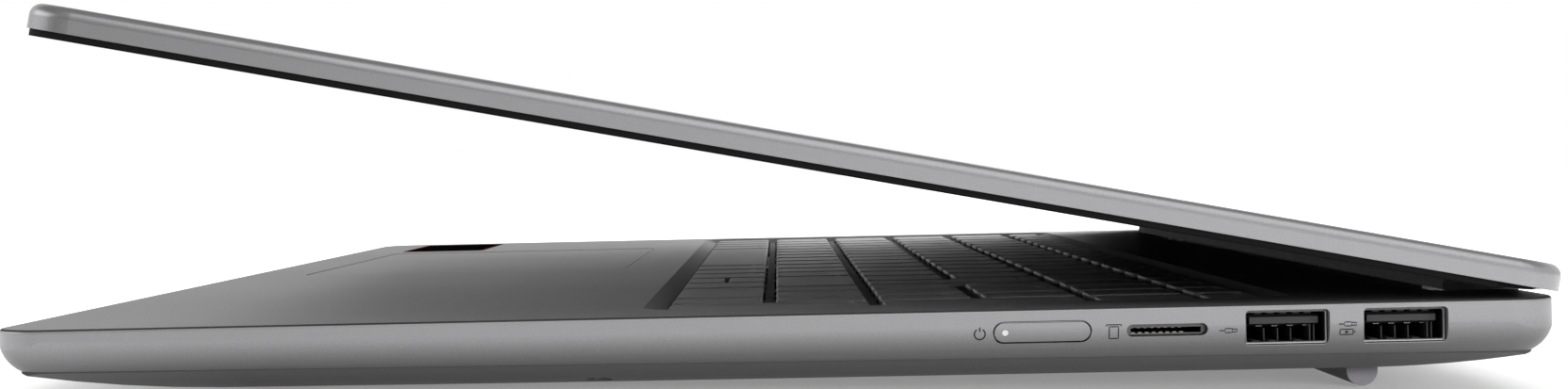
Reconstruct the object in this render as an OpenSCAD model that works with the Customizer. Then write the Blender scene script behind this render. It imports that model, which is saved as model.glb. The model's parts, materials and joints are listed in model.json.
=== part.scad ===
// Slim 16-inch laptop: a curved aluminium base, a full keyboard with a number pad,
// and a lid that folds back flat on two friction hinges sunk behind the deck.
// The pieces are drawn in the deck's own frame: the deck is z = 0, the front is -Y and
// the right side is +X. placed() then stands the base on its feet.

/* [Base] */
// Width of the base and the lid
base_w = 356; // [340:2:372]
// Depth of the base and the lid, front to rear
base_d = 251.4; // [244:0.2:262]
// Corner radius of the base and the lid, seen from above
corner_r = 9; // [7:0.5:12]
// Depth of the upper case below the deck, at the middle of the base
case_depth = 7.8; // [7.4:0.1:9]
// Slope of the seam between the upper case and the bottom cover, in degrees
seam_slope = 0.395; // [0:0.005:0.45]
// Fillet along the deck's edge
deck_fillet = 0.6; // [0.3:0.1:1]
// Thickness of the deck
deck_t = 2; // [1.8:0.1:2.4]
// Thickness of the wall behind the recesses at the rear
wall_t = 1.3; // [1:0.1:1.8]
// Radius of the side wall where it curves in
side_curve_r = 6.2; // [6:0.1:8]
// Height above the seam at which the side wall starts to curve in
side_curve_h = 5.5; // [4.5:0.1:5.8]

/* [Bottom cover] */
// Depth of the bottom cover below the seam
cover_depth = 4.5; // [4:0.1:5]
// Thickness of the bottom cover
cover_t = 1.2; // [0.8:0.1:1.4]
// Distance from the side of the base to the bottom cover's edge
cover_inset = 3.4; // [3.4:0.1:4]
// How much shallower the cover is at the rear than at the front
cover_rise = 1.45; // [1:0.05:1.6]
// Radius of the crown along the cover's sides
side_crown_r = 46; // [40:1:60]
// Radius of the crown along the cover's front edge
front_crown_r = 187; // [150:1:220]
// Radius of the crown along the cover's rear edge
rear_crown_r = 137; // [120:1:180]

/* [Feet] */
// Height of the rear foot below the bottom cover
rear_foot_h = 3.75; // [3:0.05:5]
// Thickness of the rear foot, front to rear
rear_foot_w = 5.2; // [4:0.1:8]
// Half the length of the rear foot
rear_foot_half = 160; // [120:1:163]
// Place of the rear foot, from the middle of the base
rear_foot_y = 97.6; // [85:0.2:102]
// Height of the front feet below the bottom cover
front_foot_h = 0.75; // [0.4:0.05:2]
// Length of a front foot
front_foot_len = 40; // [24:1:60]
// Width of a front foot
front_foot_w = 8; // [6:0.5:10]

/* [Lid] */
// Opening angle of the lid as it stands, in degrees
rest_angle = 11; // [2:0.5:30]
// Thickness of the metal lid
lid_t = 4.25; // [4:0.05:6]
// Rounding of the lid's outer edge
lid_edge_r = 2; // [1:0.1:2.6]
// Gap between the deck and the lid's metal rim when shut
rim_gap = 1.2; // [1.1:0.05:1.8]
// Thickness of the lid's outer skin
lid_skin = 1.2; // [0.8:0.05:1.4]
// Width of the lid's bare metal strip behind the screen frame
lid_rear_strip = 12.2; // [12:0.1:14]
// Thickness of the screen frame in front of the rim
bezel_t = 0.85; // [0.6:0.05:0.9]
// Thickness of the rubber seal on the screen frame
gasket_t = 0.3; // [0.1:0.05:0.3]
// Width of the rubber seal
gasket_w = 1.2; // [0.8:0.1:2]
// Width of the screen frame's side bars
bezel_side = 5.6; // [5:0.1:9]
// Width of the screen frame's top bar
bezel_top = 6.8; // [6:0.1:10]
// Height of the visible picture area
screen_h = 215.4; // [200:0.1:216]

/* [Hinge] */
// Distance from the rear of the base to the hinge axis
hinge_inset = 3.4; // [3.2:0.1:4]
// Depth of the hinge axis below the deck
hinge_drop = 5; // [4.8:0.1:5.4]
// Radius of the hinge cover's barrel
barrel_r = 3.3; // [3:0.1:3.4]
// Half the length of the hinge cover
hinge_cover_half = 153.3; // [140:0.1:156]
// Reach of the hinge cover in front of the hinge axis
hinge_cover_reach = 9.9; // [8:0.1:11]
// Radius of the hinge pins
hinge_pin_r = 1.5; // [1.2:0.05:1.6]
// Radial clearance of the hinge pins
hinge_fit = 0.05; // [0.02:0.01:0.08]
// Place of each hinge knuckle, from the middle of the base
knuckle_x = 125; // [110:1:132]
// Length of each hinge knuckle
knuckle_len = 10; // [8:0.5:14]

/* [Keyboard] */
// Width of one key with its gap
key_pitch_x = 18.32; // [17.6:0.02:18.6]
// Depth of one row of keys with its gap
key_pitch_y = 18.4; // [17.6:0.1:18.8]
// Width of one number pad key with its gap
pad_pitch = 15.5; // [15:0.1:16]
// Gap between two keys
key_gap = 2.5; // [2:0.1:3]
// Depth of a key in the short top row
short_key_d = 8.6; // [7:0.1:10]
// Height of the key tops below the deck
key_sunk = 0.3; // [0.1:0.05:0.5]
// Thickness of a key cap
key_t = 1.75; // [1.4:0.05:2]
// Travel of a key
key_travel = 1.4; // [1:0.1:1.5]
// Clearance around each key
key_clear = 0.45; // [0.3:0.05:0.6]
// Front edge of the first row of keys
keys_front_y = -18.4; // [-20:0.1:-16]
// Left edge of the first column of keys
keys_left_x = -165; // [-166:0.5:-163]
// Depth of the keyboard recess below the deck
well_depth = 1.2; // [0.8:0.1:1.5]
// Width of the recess's sloping border
well_slope_w = 3.2; // [2:0.1:4]

/* [Touchpad] */
// Width of the touchpad
touchpad_w = 120; // [100:1:130]
// Depth of the touchpad, front to rear
touchpad_d = 75; // [60:1:80]
// Middle of the touchpad, from the middle of the base
touchpad_x = -46.8; // [-50:0.2:0]
// Distance from the front of the base to the touchpad
touchpad_front = 14.9; // [12:0.1:18]
// Gap around the touchpad
touchpad_gap = 0.3; // [0.2:0.05:0.5]

/* [Right side] */
// Height of the ports' middles below the deck
port_drop = 3.8; // [3.7:0.05:4]
// Clearance around a port's shell in the case
port_clear = 0.15; // [0.1:0.05:0.25]
// Depth to which a port's mouth is sunk in the side
port_sunk = 1.6; // [1.5:0.1:2.2]
// Place of the USB-A port nearer the front
usb_a_front_y = 81.05; // [78:0.05:82]
// Place of the USB-A port nearer the rear
usb_a_rear_y = 99.85; // [98:0.05:102]
// Place of the memory card slot
card_y = 61.95; // [58:0.05:64]
// Width of the memory card slot
card_w = 12.9; // [12.5:0.1:14]
// Place of the power button
power_y = 42.15; // [36:0.05:46]
// Length of the power button
power_len = 15.2; // [12:0.1:18]
// Height of the power button
power_h = 3.05; // [2.4:0.05:3.4]
// Travel of the power button
power_travel = 0.4; // [0.2:0.05:0.5]

/* [Left side] */
// Place of the HDMI port
hdmi_y = 96; // [92:1:100]
// Place of the USB-C port nearer the rear
usb_c_rear_y = 78; // [75:1:80]
// Distance between the two USB-C ports
usb_c_pitch = 15; // [13:1:16]
// Place of the headset socket
audio_y = -45; // [-46:0.5:-43]
// Bore radius of the headset socket
audio_bore_r = 1.8; // [1.76:0.01:1.82]
// Depth of the headset socket
audio_bore_len = 14; // [12:0.5:15]

/* [Inside] */
// Thickness of the main board
board_t = 0.9; // [0.8:0.1:1.2]
// Width of the battery
battery_w = 250; // [200:2:256]
// Depth of the battery, front to rear
battery_d = 56; // [48:1:60]
// Thickness of the battery
battery_t = 4.6; // [4:0.1:4.8]
// Radius of the fan's rotor
fan_r = 26; // [20:0.5:28]
// Number of fan blades
fan_blades = 31; // [19:2:41]
// Number of intake slots in one row
vent_slots = 14; // [8:1:15]
// Number of rows of intake slots
vent_rows = 4; // [2:1:5]

/* [Hidden] */
$fn = 48;
big = 600;
e = 0.01;

// Every key but enter, single keys first and then the groups that share a node.
KEY_NODES = ["escape_key", "delete_key", "backspace_key", "tab_key", "caps_lock_key",
    "left_shift_key", "right_shift_key", "left_ctrl_key", "space_bar",
    "left_arrow_key", "up_arrow_key", "down_arrow_key", "right_arrow_key",
    "pad_zero_key", "pad_enter_key", "pad_plus_key", "function_keys", "number_keys",
    "upper_letter_keys", "home_letter_keys", "lower_letter_keys", "modifier_keys",
    "pad_keys"];

// ---- Colours ----
ALUMINIUM = [0.62, 0.62, 0.63];
KEY_GREY = [0.27, 0.27, 0.28];
PLATE_GREY = [0.22, 0.22, 0.23];
BLACK = [0.06, 0.06, 0.06];
STEEL = [0.66, 0.66, 0.67];
BOARD_BLUE = [0.05, 0.16, 0.24];

// ---- Heights in the base ----
front_y = -base_d / 2;
rear_y = base_d / 2;
side_x = base_w / 2;
// Each crown dips a little below its flat, so that the two cross, and ends cover_edge deep.
crown_dip = 0.02;
cover_edge = 0.22;
cover_rear_depth = cover_depth - cover_rise;
function run_of(r, depth) = sqrt(r * r - pow(r - depth + cover_edge - crown_dip, 2));
crown_run = run_of(side_crown_r, cover_depth);
front_run = run_of(front_crown_r, cover_depth);
rear_run = run_of(rear_crown_r, cover_rear_depth);
cover_front_flat = front_y + cover_inset + front_run;
cover_rear_flat = rear_y - cover_inset - rear_run;
cover_tilt = atan(cover_rise / (cover_rear_flat - cover_front_flat));
cover_flat_half = side_x - cover_inset - crown_run;
inner_inset = 5.2;
cover_rim_w = 3.2;

// Height of the seam at a given y, and of the cover's outer face at (x, y).
function seam_z(y) = -case_depth - y * tan(seam_slope);
function arc_rise(r, d) = d > 0 ? max(0, r - crown_dip - sqrt(r * r - d * d)) : 0;
function side_rise(x) = arc_rise(side_crown_r, abs(x) - cover_flat_half);
function front_rise(y) = arc_rise(front_crown_r, cover_front_flat - y);
function rear_rise(y) = arc_rise(rear_crown_r, y - cover_rear_flat)
    + max(0, min(y, cover_rear_flat) - cover_front_flat) * tan(cover_tilt);
function cover_z(y, x = 0) = seam_z(y) - cover_depth
    + max(side_rise(x), front_rise(y), rear_rise(y));
function floor_z(y) = cover_z(y) + cover_t;

// ---- Stance: the base leans forward on a tall rear foot ----
rear_foot_r = rear_foot_w / 2;
rear_foot_z = cover_z(rear_foot_y) - rear_foot_h;
front_foot_y = front_y + 29;
front_foot_x = side_x - 62;
front_foot_z = cover_z(front_foot_y) - front_foot_h;
stance_tilt = atan((front_foot_z - rear_foot_z) / (rear_foot_y - front_foot_y));
foot_arc_z = rear_foot_z + rear_foot_r;
stance_rise = rear_foot_r - rear_foot_y * sin(stance_tilt) - foot_arc_z * cos(stance_tilt);

// ---- Hinge ----
hinge_y = rear_y - hinge_inset;
hinge_z = -hinge_drop;
rim_z = rim_gap;
lid_top_z = rim_z + lid_t;
bezel_z = rim_z - bezel_t;
seal_z = bezel_z - gasket_t;
notch_y = hinge_y - barrel_r - 0.5;
notch_half = hinge_cover_half + 0.9;
cover_strip_dz = barrel_r;
strip_z = hinge_z + cover_strip_dz;
strip_front_y = hinge_y - hinge_cover_reach;
strip_sweep_r = sqrt(pow(hinge_cover_reach, 2) + pow(cover_strip_dz, 2));
recess_y = hinge_y - strip_sweep_r - 0.4;
recess_z = strip_z - 0.6;
lid_inner_rear_y = rear_y - lid_rear_strip;
knuckle_r = barrel_r - 0.4;
hinge_gap_half = 12;
hinge_mid_x = knuckle_x + 5.5;

// Overall extent front to rear as the laptop stands, which centres it on the origin.
lid_edge_y = hinge_y + (hinge_inset - lid_edge_r) * cos(rest_angle)
    + (lid_top_z - lid_edge_r - hinge_z) * sin(rest_angle);
lid_edge_z = hinge_z - (hinge_inset - lid_edge_r) * sin(rest_angle)
    + (lid_top_z - lid_edge_r - hinge_z) * cos(rest_angle);
stance_rear = lid_edge_y * cos(stance_tilt) - lid_edge_z * sin(stance_tilt) + lid_edge_r;
stance_front = front_y * cos(stance_tilt);
stance_shift = -(stance_rear + stance_front) / 2;

// ---- Keyboard layout, in units of the key pitch from the left ----
cap_h = key_pitch_y - key_gap;
key_top = -key_sunk;
key_bottom = key_top - key_t;
frame_top = -well_depth;
frame_bottom = -deck_t - 0.8;
key_plate_top = key_bottom - key_travel - 0.75;
key_plate_t = 0.6;
space_units = [0.9, 0.9, 0.9, 1, 5.5, 1.05, 1, 1, 1, 1];
lower_units = concat([1.25], [for (i = [1:11]) 1], [2]);
home_units = concat([1.5], [for (i = [1:12]) 1]);
upper_units = concat([1.25], [for (i = [1:12]) 1]);
digit_units = concat([for (i = [1:13]) 1], [1.25]);
main_units = 14.25;
pad_left_x = keys_left_x + main_units * key_pitch_x + 1.4;
keys_right_x = pad_left_x + 4 * pad_pitch;
short_pitch = (keys_right_x - keys_left_x) / 20;
keys_rear_y = keys_front_y + 5 * key_pitch_y + short_key_d;
well_margin = 0.9;
opening_left = keys_left_x - well_margin;
opening_right = keys_right_x - key_gap + well_margin;
opening_front = keys_front_y - well_margin;
opening_rear = keys_rear_y + well_margin;
opening_w = opening_right - opening_left;
opening_d = opening_rear - opening_front;
opening_x = (opening_left + opening_right) / 2;
opening_y = (opening_front + opening_rear) / 2;
opening_r = 2.5;

function sum_to(v, n) = n <= 0 ? 0 : v[n - 1] + sum_to(v, n - 1);
function row_y(row) = keys_front_y + row * key_pitch_y;

// A key is [node, left x, right x, front y, rear y].
function main_key(name, row, units, i) = [name,
    keys_left_x + sum_to(units, i) * key_pitch_x,
    keys_left_x + sum_to(units, i + 1) * key_pitch_x - key_gap,
    row_y(row), row_y(row) + cap_h];
function pad_key(name, column, row, columns, rows) = [name,
    pad_left_x + column * pad_pitch,
    pad_left_x + (column + columns) * pad_pitch - key_gap,
    row_y(row), row_y(row + rows - 1) + cap_h];
function short_key(name, i) = [name,
    keys_left_x + i * short_pitch,
    keys_left_x + (i + 1) * short_pitch - key_gap,
    row_y(5), row_y(5) + short_key_d];
arrow_gap = 0.9;
arrow_h = (cap_h - arrow_gap) / 2;
arrow_cell = main_key("up_arrow_key", 0, space_units, 8);

SPACE_ROW = ["left_ctrl_key", "modifier_keys", "modifier_keys", "modifier_keys", "space_bar",
    "modifier_keys", "modifier_keys", "left_arrow_key", "arrow_pair", "right_arrow_key"];

KEYS = concat(
    [for (i = [0:9]) if (i != 8) main_key(SPACE_ROW[i], 0, space_units, i)],
    [for (i = [0:12]) main_key(
        i == 0 ? "left_shift_key" : i == 12 ? "right_shift_key" : "lower_letter_keys",
        1, lower_units, i)],
    [for (i = [0:12]) main_key(i == 0 ? "caps_lock_key" : "home_letter_keys",
        2, home_units, i)],
    [for (i = [0:12]) main_key(i == 0 ? "tab_key" : "upper_letter_keys",
        3, upper_units, i)],
    [for (i = [0:13]) main_key(i == 13 ? "backspace_key" : "number_keys",
        4, digit_units, i)],
    [for (i = [0:19]) short_key(
        i == 0 ? "escape_key" : i == 15 ? "delete_key" : "function_keys", i)],
    [for (row = [1:3], column = [0:2]) pad_key("pad_keys", column, row, 1, 1)],
    [for (column = [0:3]) pad_key("pad_keys", column, 4, 1, 1)],
    [pad_key("pad_keys", 2, 0, 1, 1)],
    [pad_key("pad_zero_key", 0, 0, 2, 1)],
    [pad_key("pad_enter_key", 3, 0, 1, 2)],
    [pad_key("pad_plus_key", 3, 2, 1, 2)]);

// The enter key is tall, with a wider upper half.
enter_upper = main_key("enter_key", 3, concat([main_units - 1], [1]), 1);
enter_lower = main_key("enter_key", 2, concat([main_units - 0.75], [0.75]), 1);

// ---- Places of the touchpad, ports and inner pieces ----
touchpad_y = front_y + touchpad_front + touchpad_d / 2;
touchpad_top = -0.08;
touchpad_t = 1.1;
port_z = -port_drop;
usb_a_w = 13.1;
usb_a_h = 5.3;
usb_a_depth = 14;
shell_t = 0.3;
usb_c_w = 8.94;
usb_c_h = 3.26;
usb_c_depth = 7.2;
hdmi_w = 15;
board_top = port_z - usb_a_h / 2 - port_clear;
board_bottom = board_top - board_t;
board_rear_y = notch_y - wall_t - 13;
board_half = side_x - inner_inset - 0.6;
frame_flange = 3;
fan_x = -60;
fan_well_r = fan_r + 1.6;
fan_y = board_rear_y - fan_well_r - 3;
fan_wall = 0.5;
fan_top = key_plate_top - key_plate_t - 0.35;
fan_half = fan_well_r + 3;
fan_bottom = floor_z(fan_y + fan_half) + 0.1;
sink_half = fan_well_r;
sink_front_y = board_rear_y + 0.6;
sink_rear_y = notch_y - wall_t - 1.6;
pipe_w = 8;
pipe_y = (sink_front_y + sink_rear_y) / 2;
pipe_z = floor_z(pipe_y + pipe_w / 2) + 0.15;
pipe_t = min(1.4, board_bottom - 0.1 - pipe_z);
cpu_x = 35;
cpu_y = 42;

// ---- Screws: two front corners, two at the front, two at the sides, three at the rear ----
screw_side_x = side_x - 12.5;
screw_front_y = front_y + 9.5;
screw_mid_y = opening_front - frame_flange - 7;
screw_rear_y = notch_y - 5.5;
SCREWS = [
    for (s = [-1, 1], y = [screw_front_y, screw_mid_y, screw_rear_y]) [s * screw_side_x, y],
    for (s = [-1, 1]) [s * 60, screw_front_y],
    [0, screw_rear_y]];
screw_head_r = 2;
screw_head_t = 0.8;
screw_sunk = 0.5;
screw_r = 0.9;
screw_fit = 0.05;
screw_len = 3.4;
screw_pad_t = 1;
boss_r = 2.2;
rear_seat_z = cover_z(rear_foot_y) + 0.5;
front_seat_z = cover_z(front_foot_y) + 0.5;
battery_front_y = cover_front_flat + 2;
speaker_x = 149;
speaker_d = 46;
speaker_y = -73.5;

// ---- Small fixed sizes ----
key_bevel = 0.25;
key_inset = 0.25;
card_h = 1.95;
audio_nose_r = 2.6;
power_z = port_z + 0.08;
power_light_r = 0.5;
power_light_y = power_y - power_len / 2 + 1.7;
fan_pin_r = 1.5;
hinge_leaf_t = 1.6;
hinge_hub_len = 6.5;
leaf_front_y = lid_inner_rear_y - 12;
frame_inset = 0.45;
screen_w = base_w - 2 * bezel_side;
screen_y = front_y + bezel_top + screen_h / 2;
camera_y = front_y + 3.7;
camera_r = 1.2;
function screw_seat(s) = cover_z(s[1], s[0]) + screw_sunk + screw_head_t;

// ---- Frames of reference ----
module placed() {
    translate([0, stance_shift, stance_rise]) rotate([stance_tilt, 0, 0]) children();
}

module lid_opened() {
    placed() translate([0, hinge_y, hinge_z]) rotate([-rest_angle, 0, 0])
        translate([0, -hinge_y, -hinge_z]) children();
}

module on_seam() {
    translate([0, 0, -case_depth]) rotate([-seam_slope, 0, 0]) children();
}

// ---- Shared shapes ----
module plan(w, d, r) {
    square([w - 2 * r, d], center = true);
    square([w, d - 2 * r], center = true);
    for (sx = [-1, 1], sy = [-1, 1])
        translate([sx * (w / 2 - r), sy * (d / 2 - r)]) circle(r);
}

module slab(w, d, r, z0, z1) {
    translate([0, 0, z0]) linear_extrude(z1 - z0) plan(w, d, r);
}

// Sweeps a section round the outline of plan(w, d, r): x is the distance outward, y the height.
module ring(w, d, r) {
    for (c = [[1, 1, 0], [-1, 1, 90], [-1, -1, 180], [1, -1, 270]])
        translate([c[0] * (w / 2 - r), c[1] * (d / 2 - r), 0]) rotate([0, 0, c[2]])
            rotate_extrude(angle = 90) translate([r, 0]) children();
    for (turn = [0, 180])
        rotate([0, 0, turn]) translate([w / 2, 0, 0]) rotate([90, 0, 0])
            linear_extrude(d - 2 * r, center = true) children();
    for (turn = [90, 270])
        rotate([0, 0, turn]) translate([d / 2, 0, 0]) rotate([90, 0, 0])
            linear_extrude(w - 2 * r, center = true) children();
}

// What a fillet takes off the upper edge of a slab.
module fillet_section(r) {
    difference() {
        translate([-r, -r]) square([r + 1, r + 1]);
        translate([-r, -r]) circle(r);
    }
}

module box_between(low, high) {
    translate(low) cube(high - low);
}

// A profile drawn in (y, z) and extruded along x, centred on x = 0.
module along_x(length) {
    rotate([90, 0, 90]) linear_extrude(length, center = true) children();
}

// A rounded slot in the side wall, drawn as (y, z) and cut inward from the side.
module side_slot(side, y, w, h, r, depth, z = port_z) {
    translate([side * (side_x - depth / 2 + 2), y, z]) along_x(depth + 4) plan(w, h, r);
}

// ---- The base's two shells ----
// Outline of the curved side walls seen end on: the curve starts side_curve_h above the seam.
module bowl_profile(half) {
    difference() {
        translate([-half, 0]) square([2 * half, 20]);
        for (s = [-1, 1])
            mirror([s < 0 ? 1 : 0, 0]) difference() {
                translate([half - side_curve_r, -1])
                    square([side_curve_r + 1, side_curve_h + 1]);
                translate([half - side_curve_r, side_curve_h]) circle(side_curve_r);
            }
    }
}

// The curved side walls carried round the corners, a little outside the vertical wall.
module bowl() {
    bulge = 0.02;
    half_w = side_x + bulge;
    half_d = rear_y + bulge;
    r = corner_r - 0.6;
    rotate([90, 0, 0]) linear_extrude(2 * (half_d - r), center = true) bowl_profile(half_w);
    along_x(2 * (half_w - r)) bowl_profile(half_d);
    for (sx = [-1, 1], sy = [-1, 1])
        translate([sx * (half_w - r), sy * (half_d - r), 0])
            rotate_extrude() intersection() {
                bowl_profile(r);
                square([r, 20]);
            }
}

module case_form() {
    intersection() {
        difference() {
            slab(base_w, base_d, corner_r, -12, 0);
            ring(base_w, base_d, corner_r) fillet_section(deck_fillet);
        }
        on_seam() bowl();
    }
}

// The hollow of the upper case, which leaves the walls around the hinge recess.
module case_hollow() {
    keep_half = notch_half + wall_t;
    difference() {
        slab(base_w - 2 * inner_inset, base_d - 2 * inner_inset, 4, -20, -deck_t);
        box_between([-keep_half, recess_y - wall_t, recess_z - wall_t], [keep_half, big, e]);
        box_between([-keep_half, notch_y - wall_t, -30], [keep_half, big, e]);
    }
}

module hinge_notch() {
    box_between([-notch_half, recess_y, recess_z], [notch_half, big, 1]);
    box_between([-notch_half, notch_y, -30], [notch_half, big, 1]);
}

module screw_bosses() {
    for (s = SCREWS) {
        foot_z = screw_seat(s) + screw_pad_t;
        translate([s[0], s[1], foot_z]) cylinder(r = boss_r, h = -deck_t + 0.5 - foot_z);
    }
}

module screw_holes(r, z_low, z_high) {
    for (s = SCREWS)
        translate([s[0], s[1], screw_seat(s) + z_low]) cylinder(r = r, h = z_high - z_low);
}

// The sloping border of the keyboard recess and the opening below it.
module keyboard_recess() {
    translate([opening_x, opening_y, 0]) {
        slab(opening_w, opening_d, opening_r, -deck_t - 1, 1);
        ring(opening_w + 2 * well_slope_w, opening_d + 2 * well_slope_w,
            opening_r + well_slope_w)
            polygon([[-well_slope_w - 0.5, -well_depth], [-well_slope_w, -well_depth],
                [0, 0], [0, 1], [-well_slope_w - 0.5, 1]]);
    }
}

module exhaust_slots() {
    slots = 16;
    pitch = 2 * sink_half / slots;
    for (i = [0:slots - 1])
        box_between(
            [fan_x - sink_half + (i + 0.2) * pitch, notch_y - wall_t - 1, board_bottom],
            [fan_x - sink_half + (i + 0.8) * pitch, notch_y + 1, recess_z - wall_t - 0.6]);
}

// A hole through the notch's wall for each hinge arm.
module hinge_arm_holes() {
    for (s = [-1, 1])
        translate([s * knuckle_x, notch_y - wall_t / 2, hinge_z])
            cube([knuckle_len + 1, wall_t + 2, 2 * hinge_leaf_t], center = true);
}

module side_openings() {
    clear = 2 * port_clear;
    for (y = [usb_a_front_y, usb_a_rear_y])
        side_slot(1, y, usb_a_w + clear, usb_a_h + clear, 0.7, usb_a_depth + port_sunk + 0.3);
    side_slot(1, card_y, card_w, card_h, card_h / 2 - e, inner_inset + 1);
    side_slot(1, power_y, power_len + clear, power_h + clear, power_h / 2, inner_inset + 1);
    side_slot(-1, hdmi_y, hdmi_w + clear, usb_a_h + clear, 0.3, usb_a_depth + port_sunk + 0.3);
    for (y = [usb_c_rear_y, usb_c_rear_y - usb_c_pitch])
        side_slot(-1, y, usb_c_w + clear, usb_c_h + clear, usb_c_h / 2, inner_inset + 1);
    translate([-side_x - 1, audio_y, port_z]) rotate([0, 90, 0])
        cylinder(r = audio_nose_r + port_clear, h = inner_inset + 2);
}

module top_case() {
    color(ALUMINIUM) placed() difference() {
        union() {
            difference() {
                case_form();
                case_hollow();
            }
            screw_bosses();
        }
        hinge_notch();
        screw_holes(screw_r + screw_fit, screw_pad_t - 0.5, screw_len + 0.6);
        keyboard_recess();
        translate([touchpad_x, touchpad_y, 0])
            slab(touchpad_w + 2 * touchpad_gap, touchpad_d + 2 * touchpad_gap, 2.8,
                -deck_t - 1, 1);
        side_openings();
        exhaust_slots();
        hinge_arm_holes();
    }
}

// What a crown of radius r takes off beyond x = 0, drawn toward +X over a flat at y = 0.
module crown_cut(r, o) {
    difference() {
        translate([0, -5]) square([60, 17]);
        translate([0, r - crown_dip]) circle(r - o);
    }
}

module cover_side_profile(o) {
    difference() {
        translate([-side_x, o - cover_depth]) square([base_w, 12]);
        for (s = [-1, 1])
            mirror([s < 0 ? 1 : 0, 0]) translate([cover_flat_half, -cover_depth])
                crown_cut(side_crown_r, o);
    }
}

// Front to rear: the flat rises toward the rear, between the two crowns.
module cover_front_profile(o) {
    difference() {
        translate([front_y, o - cover_depth]) square([base_d, 12]);
        translate([cover_front_flat, o - cover_depth]) rotate(cover_tilt)
            translate([0, -5]) square([cover_rear_flat - cover_front_flat + 5, 5]);
        mirror([1, 0]) translate([-cover_front_flat, -cover_depth])
            crown_cut(front_crown_r, o);
        translate([cover_rear_flat, -cover_rear_depth]) crown_cut(rear_crown_r, o);
    }
}

// The cover's crowned form, shrunk by o inside: crowned across its width and its depth.
module cover_form(o, inset, height) {
    on_seam() intersection() {
        rotate([90, 0, 0]) linear_extrude(base_d, center = true) cover_side_profile(o);
        along_x(base_w) cover_front_profile(o);
        slab(base_w - 2 * inset, base_d - 2 * inset, corner_r - cover_inset - 0.6,
            -cover_depth - 1, height);
    }
}

module intake_slots() {
    slot_w = 1.6;
    slot_l = 9;
    for (i = [0:vent_slots - 1], j = [0:vent_rows - 1])
        translate([fan_x + (i - (vent_slots - 1) / 2) * 4,
            fan_y + (j - (vent_rows - 1) / 2) * (slot_l + 3), -20]) {
            translate([-slot_w / 2, -slot_l / 2, 0]) cube([slot_w, slot_l, 12]);
            for (s = [-1, 1])
                translate([0, s * slot_l / 2, 0]) cylinder(d = slot_w, h = 12, $fn = 8);
        }
}

module speaker_slots() {
    for (s = [-1, 1], i = [-5:5])
        translate([s * speaker_x - 5, speaker_y + i * 3.5 - 0.6, -20]) cube([10, 1.2, 13]);
}

module screw_pads() {
    intersection() {
        for (s = SCREWS)
            translate([s[0], s[1], screw_seat(s) + screw_pad_t - 8])
                cylinder(r = boss_r + 1, h = 8);
        cover_form(0, cover_inset, 6);
    }
}

module foot_pockets() {
    translate([0, rear_foot_y, rear_seat_z - 10])
        linear_extrude(10) square([2 * rear_foot_half + 0.2, rear_foot_w + 0.2], center = true);
    for (s = [-1, 1])
        translate([s * front_foot_x, front_foot_y, front_seat_z - 10])
            linear_extrude(10)
                plan(front_foot_len + 0.2, front_foot_w + 0.2, front_foot_w / 2);
}

module bottom_cover() {
    color(ALUMINIUM) placed() difference() {
        union() {
            difference() {
                cover_form(0, cover_inset, 0);
                cover_form(cover_t, cover_inset + cover_rim_w, 5);
            }
            screw_pads();
        }
        box_between([-notch_half, notch_y, -30], [notch_half, big, 1]);
        screw_holes(screw_head_r + 0.1, -9, 0);
        screw_holes(screw_r + 0.2, -1, 4);
        intake_slots();
        speaker_slots();
        foot_pockets();
    }
}

module bottom_screws() {
    color(STEEL) placed()
        for (s = SCREWS)
            translate([s[0], s[1], screw_seat(s)]) {
                translate([0, 0, -screw_head_t]) difference() {
                    cylinder(r = screw_head_r, h = screw_head_t);
                    translate([0, 0, -e]) cylinder(r = 1, h = 0.4, $fn = 6);
                }
                cylinder(r = screw_r, h = screw_len);
            }
}

module front_feet() {
    color(BLACK) intersection() {
        placed() for (s = [-1, 1])
            translate([s * front_foot_x, front_foot_y, 0])
                slab(front_foot_len, front_foot_w, front_foot_w / 2 - e,
                    front_seat_z - 6, front_seat_z);
        translate([-big / 2, -big / 2, 0]) cube([big, big, 40]);
    }
}

module rear_foot() {
    color([0.4, 0.4, 0.42]) placed() along_x(2 * rear_foot_half)
        translate([rear_foot_y, foot_arc_z]) difference() {
            translate([-rear_foot_w / 2, -rear_foot_r])
                square([rear_foot_w, rear_foot_r + rear_seat_z - foot_arc_z]);
            difference() {
                translate([-rear_foot_w, -rear_foot_r - 1])
                    square([2 * rear_foot_w, rear_foot_r + 1]);
                circle(rear_foot_r);
            }
        }
}

// ---- Keyboard ----
// A rounded outline with flat-sided corners, so that a key and its hole are all flat faces.
function corner_points(x, y, r, start) =
    [for (i = [0:4]) [x + r * cos(start + i * 22.5), y + r * sin(start + i * 22.5)]];

module key_outline(k, grow) {
    rear_r = 1 + max(0, grow);
    front_r = 2.6 + max(0, grow);
    x0 = k[1] - grow;
    x1 = k[2] + grow;
    y0 = k[3] - grow;
    y1 = k[4] + grow;
    polygon(concat(
        corner_points(x1 - rear_r, y1 - rear_r, rear_r, 0),
        corner_points(x0 + rear_r, y1 - rear_r, rear_r, 90),
        corner_points(x0 + front_r, y0 + front_r, front_r, 180),
        corner_points(x1 - front_r, y0 + front_r, front_r, 270)));
}

module enter_outline(grow) {
    key_outline(enter_upper, grow);
    key_outline([0, enter_lower[1], enter_lower[2], enter_lower[3], enter_upper[4]], grow);
}

// A key cap stands in two steps: the skirt and a slightly smaller top.
module cap_from(step) {
    translate([0, 0, key_bottom]) linear_extrude(key_t - key_bevel) children(0);
    translate([0, 0, key_top - key_bevel]) linear_extrude(key_bevel) children(1);
}

module arrow_key(name, low, high) {
    k = [name, arrow_cell[1], arrow_cell[2], arrow_cell[3] + low, arrow_cell[3] + high];
    cap_from() {
        arrow_outline(k, 0);
        arrow_outline(k, -key_inset);
    }
}

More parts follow.
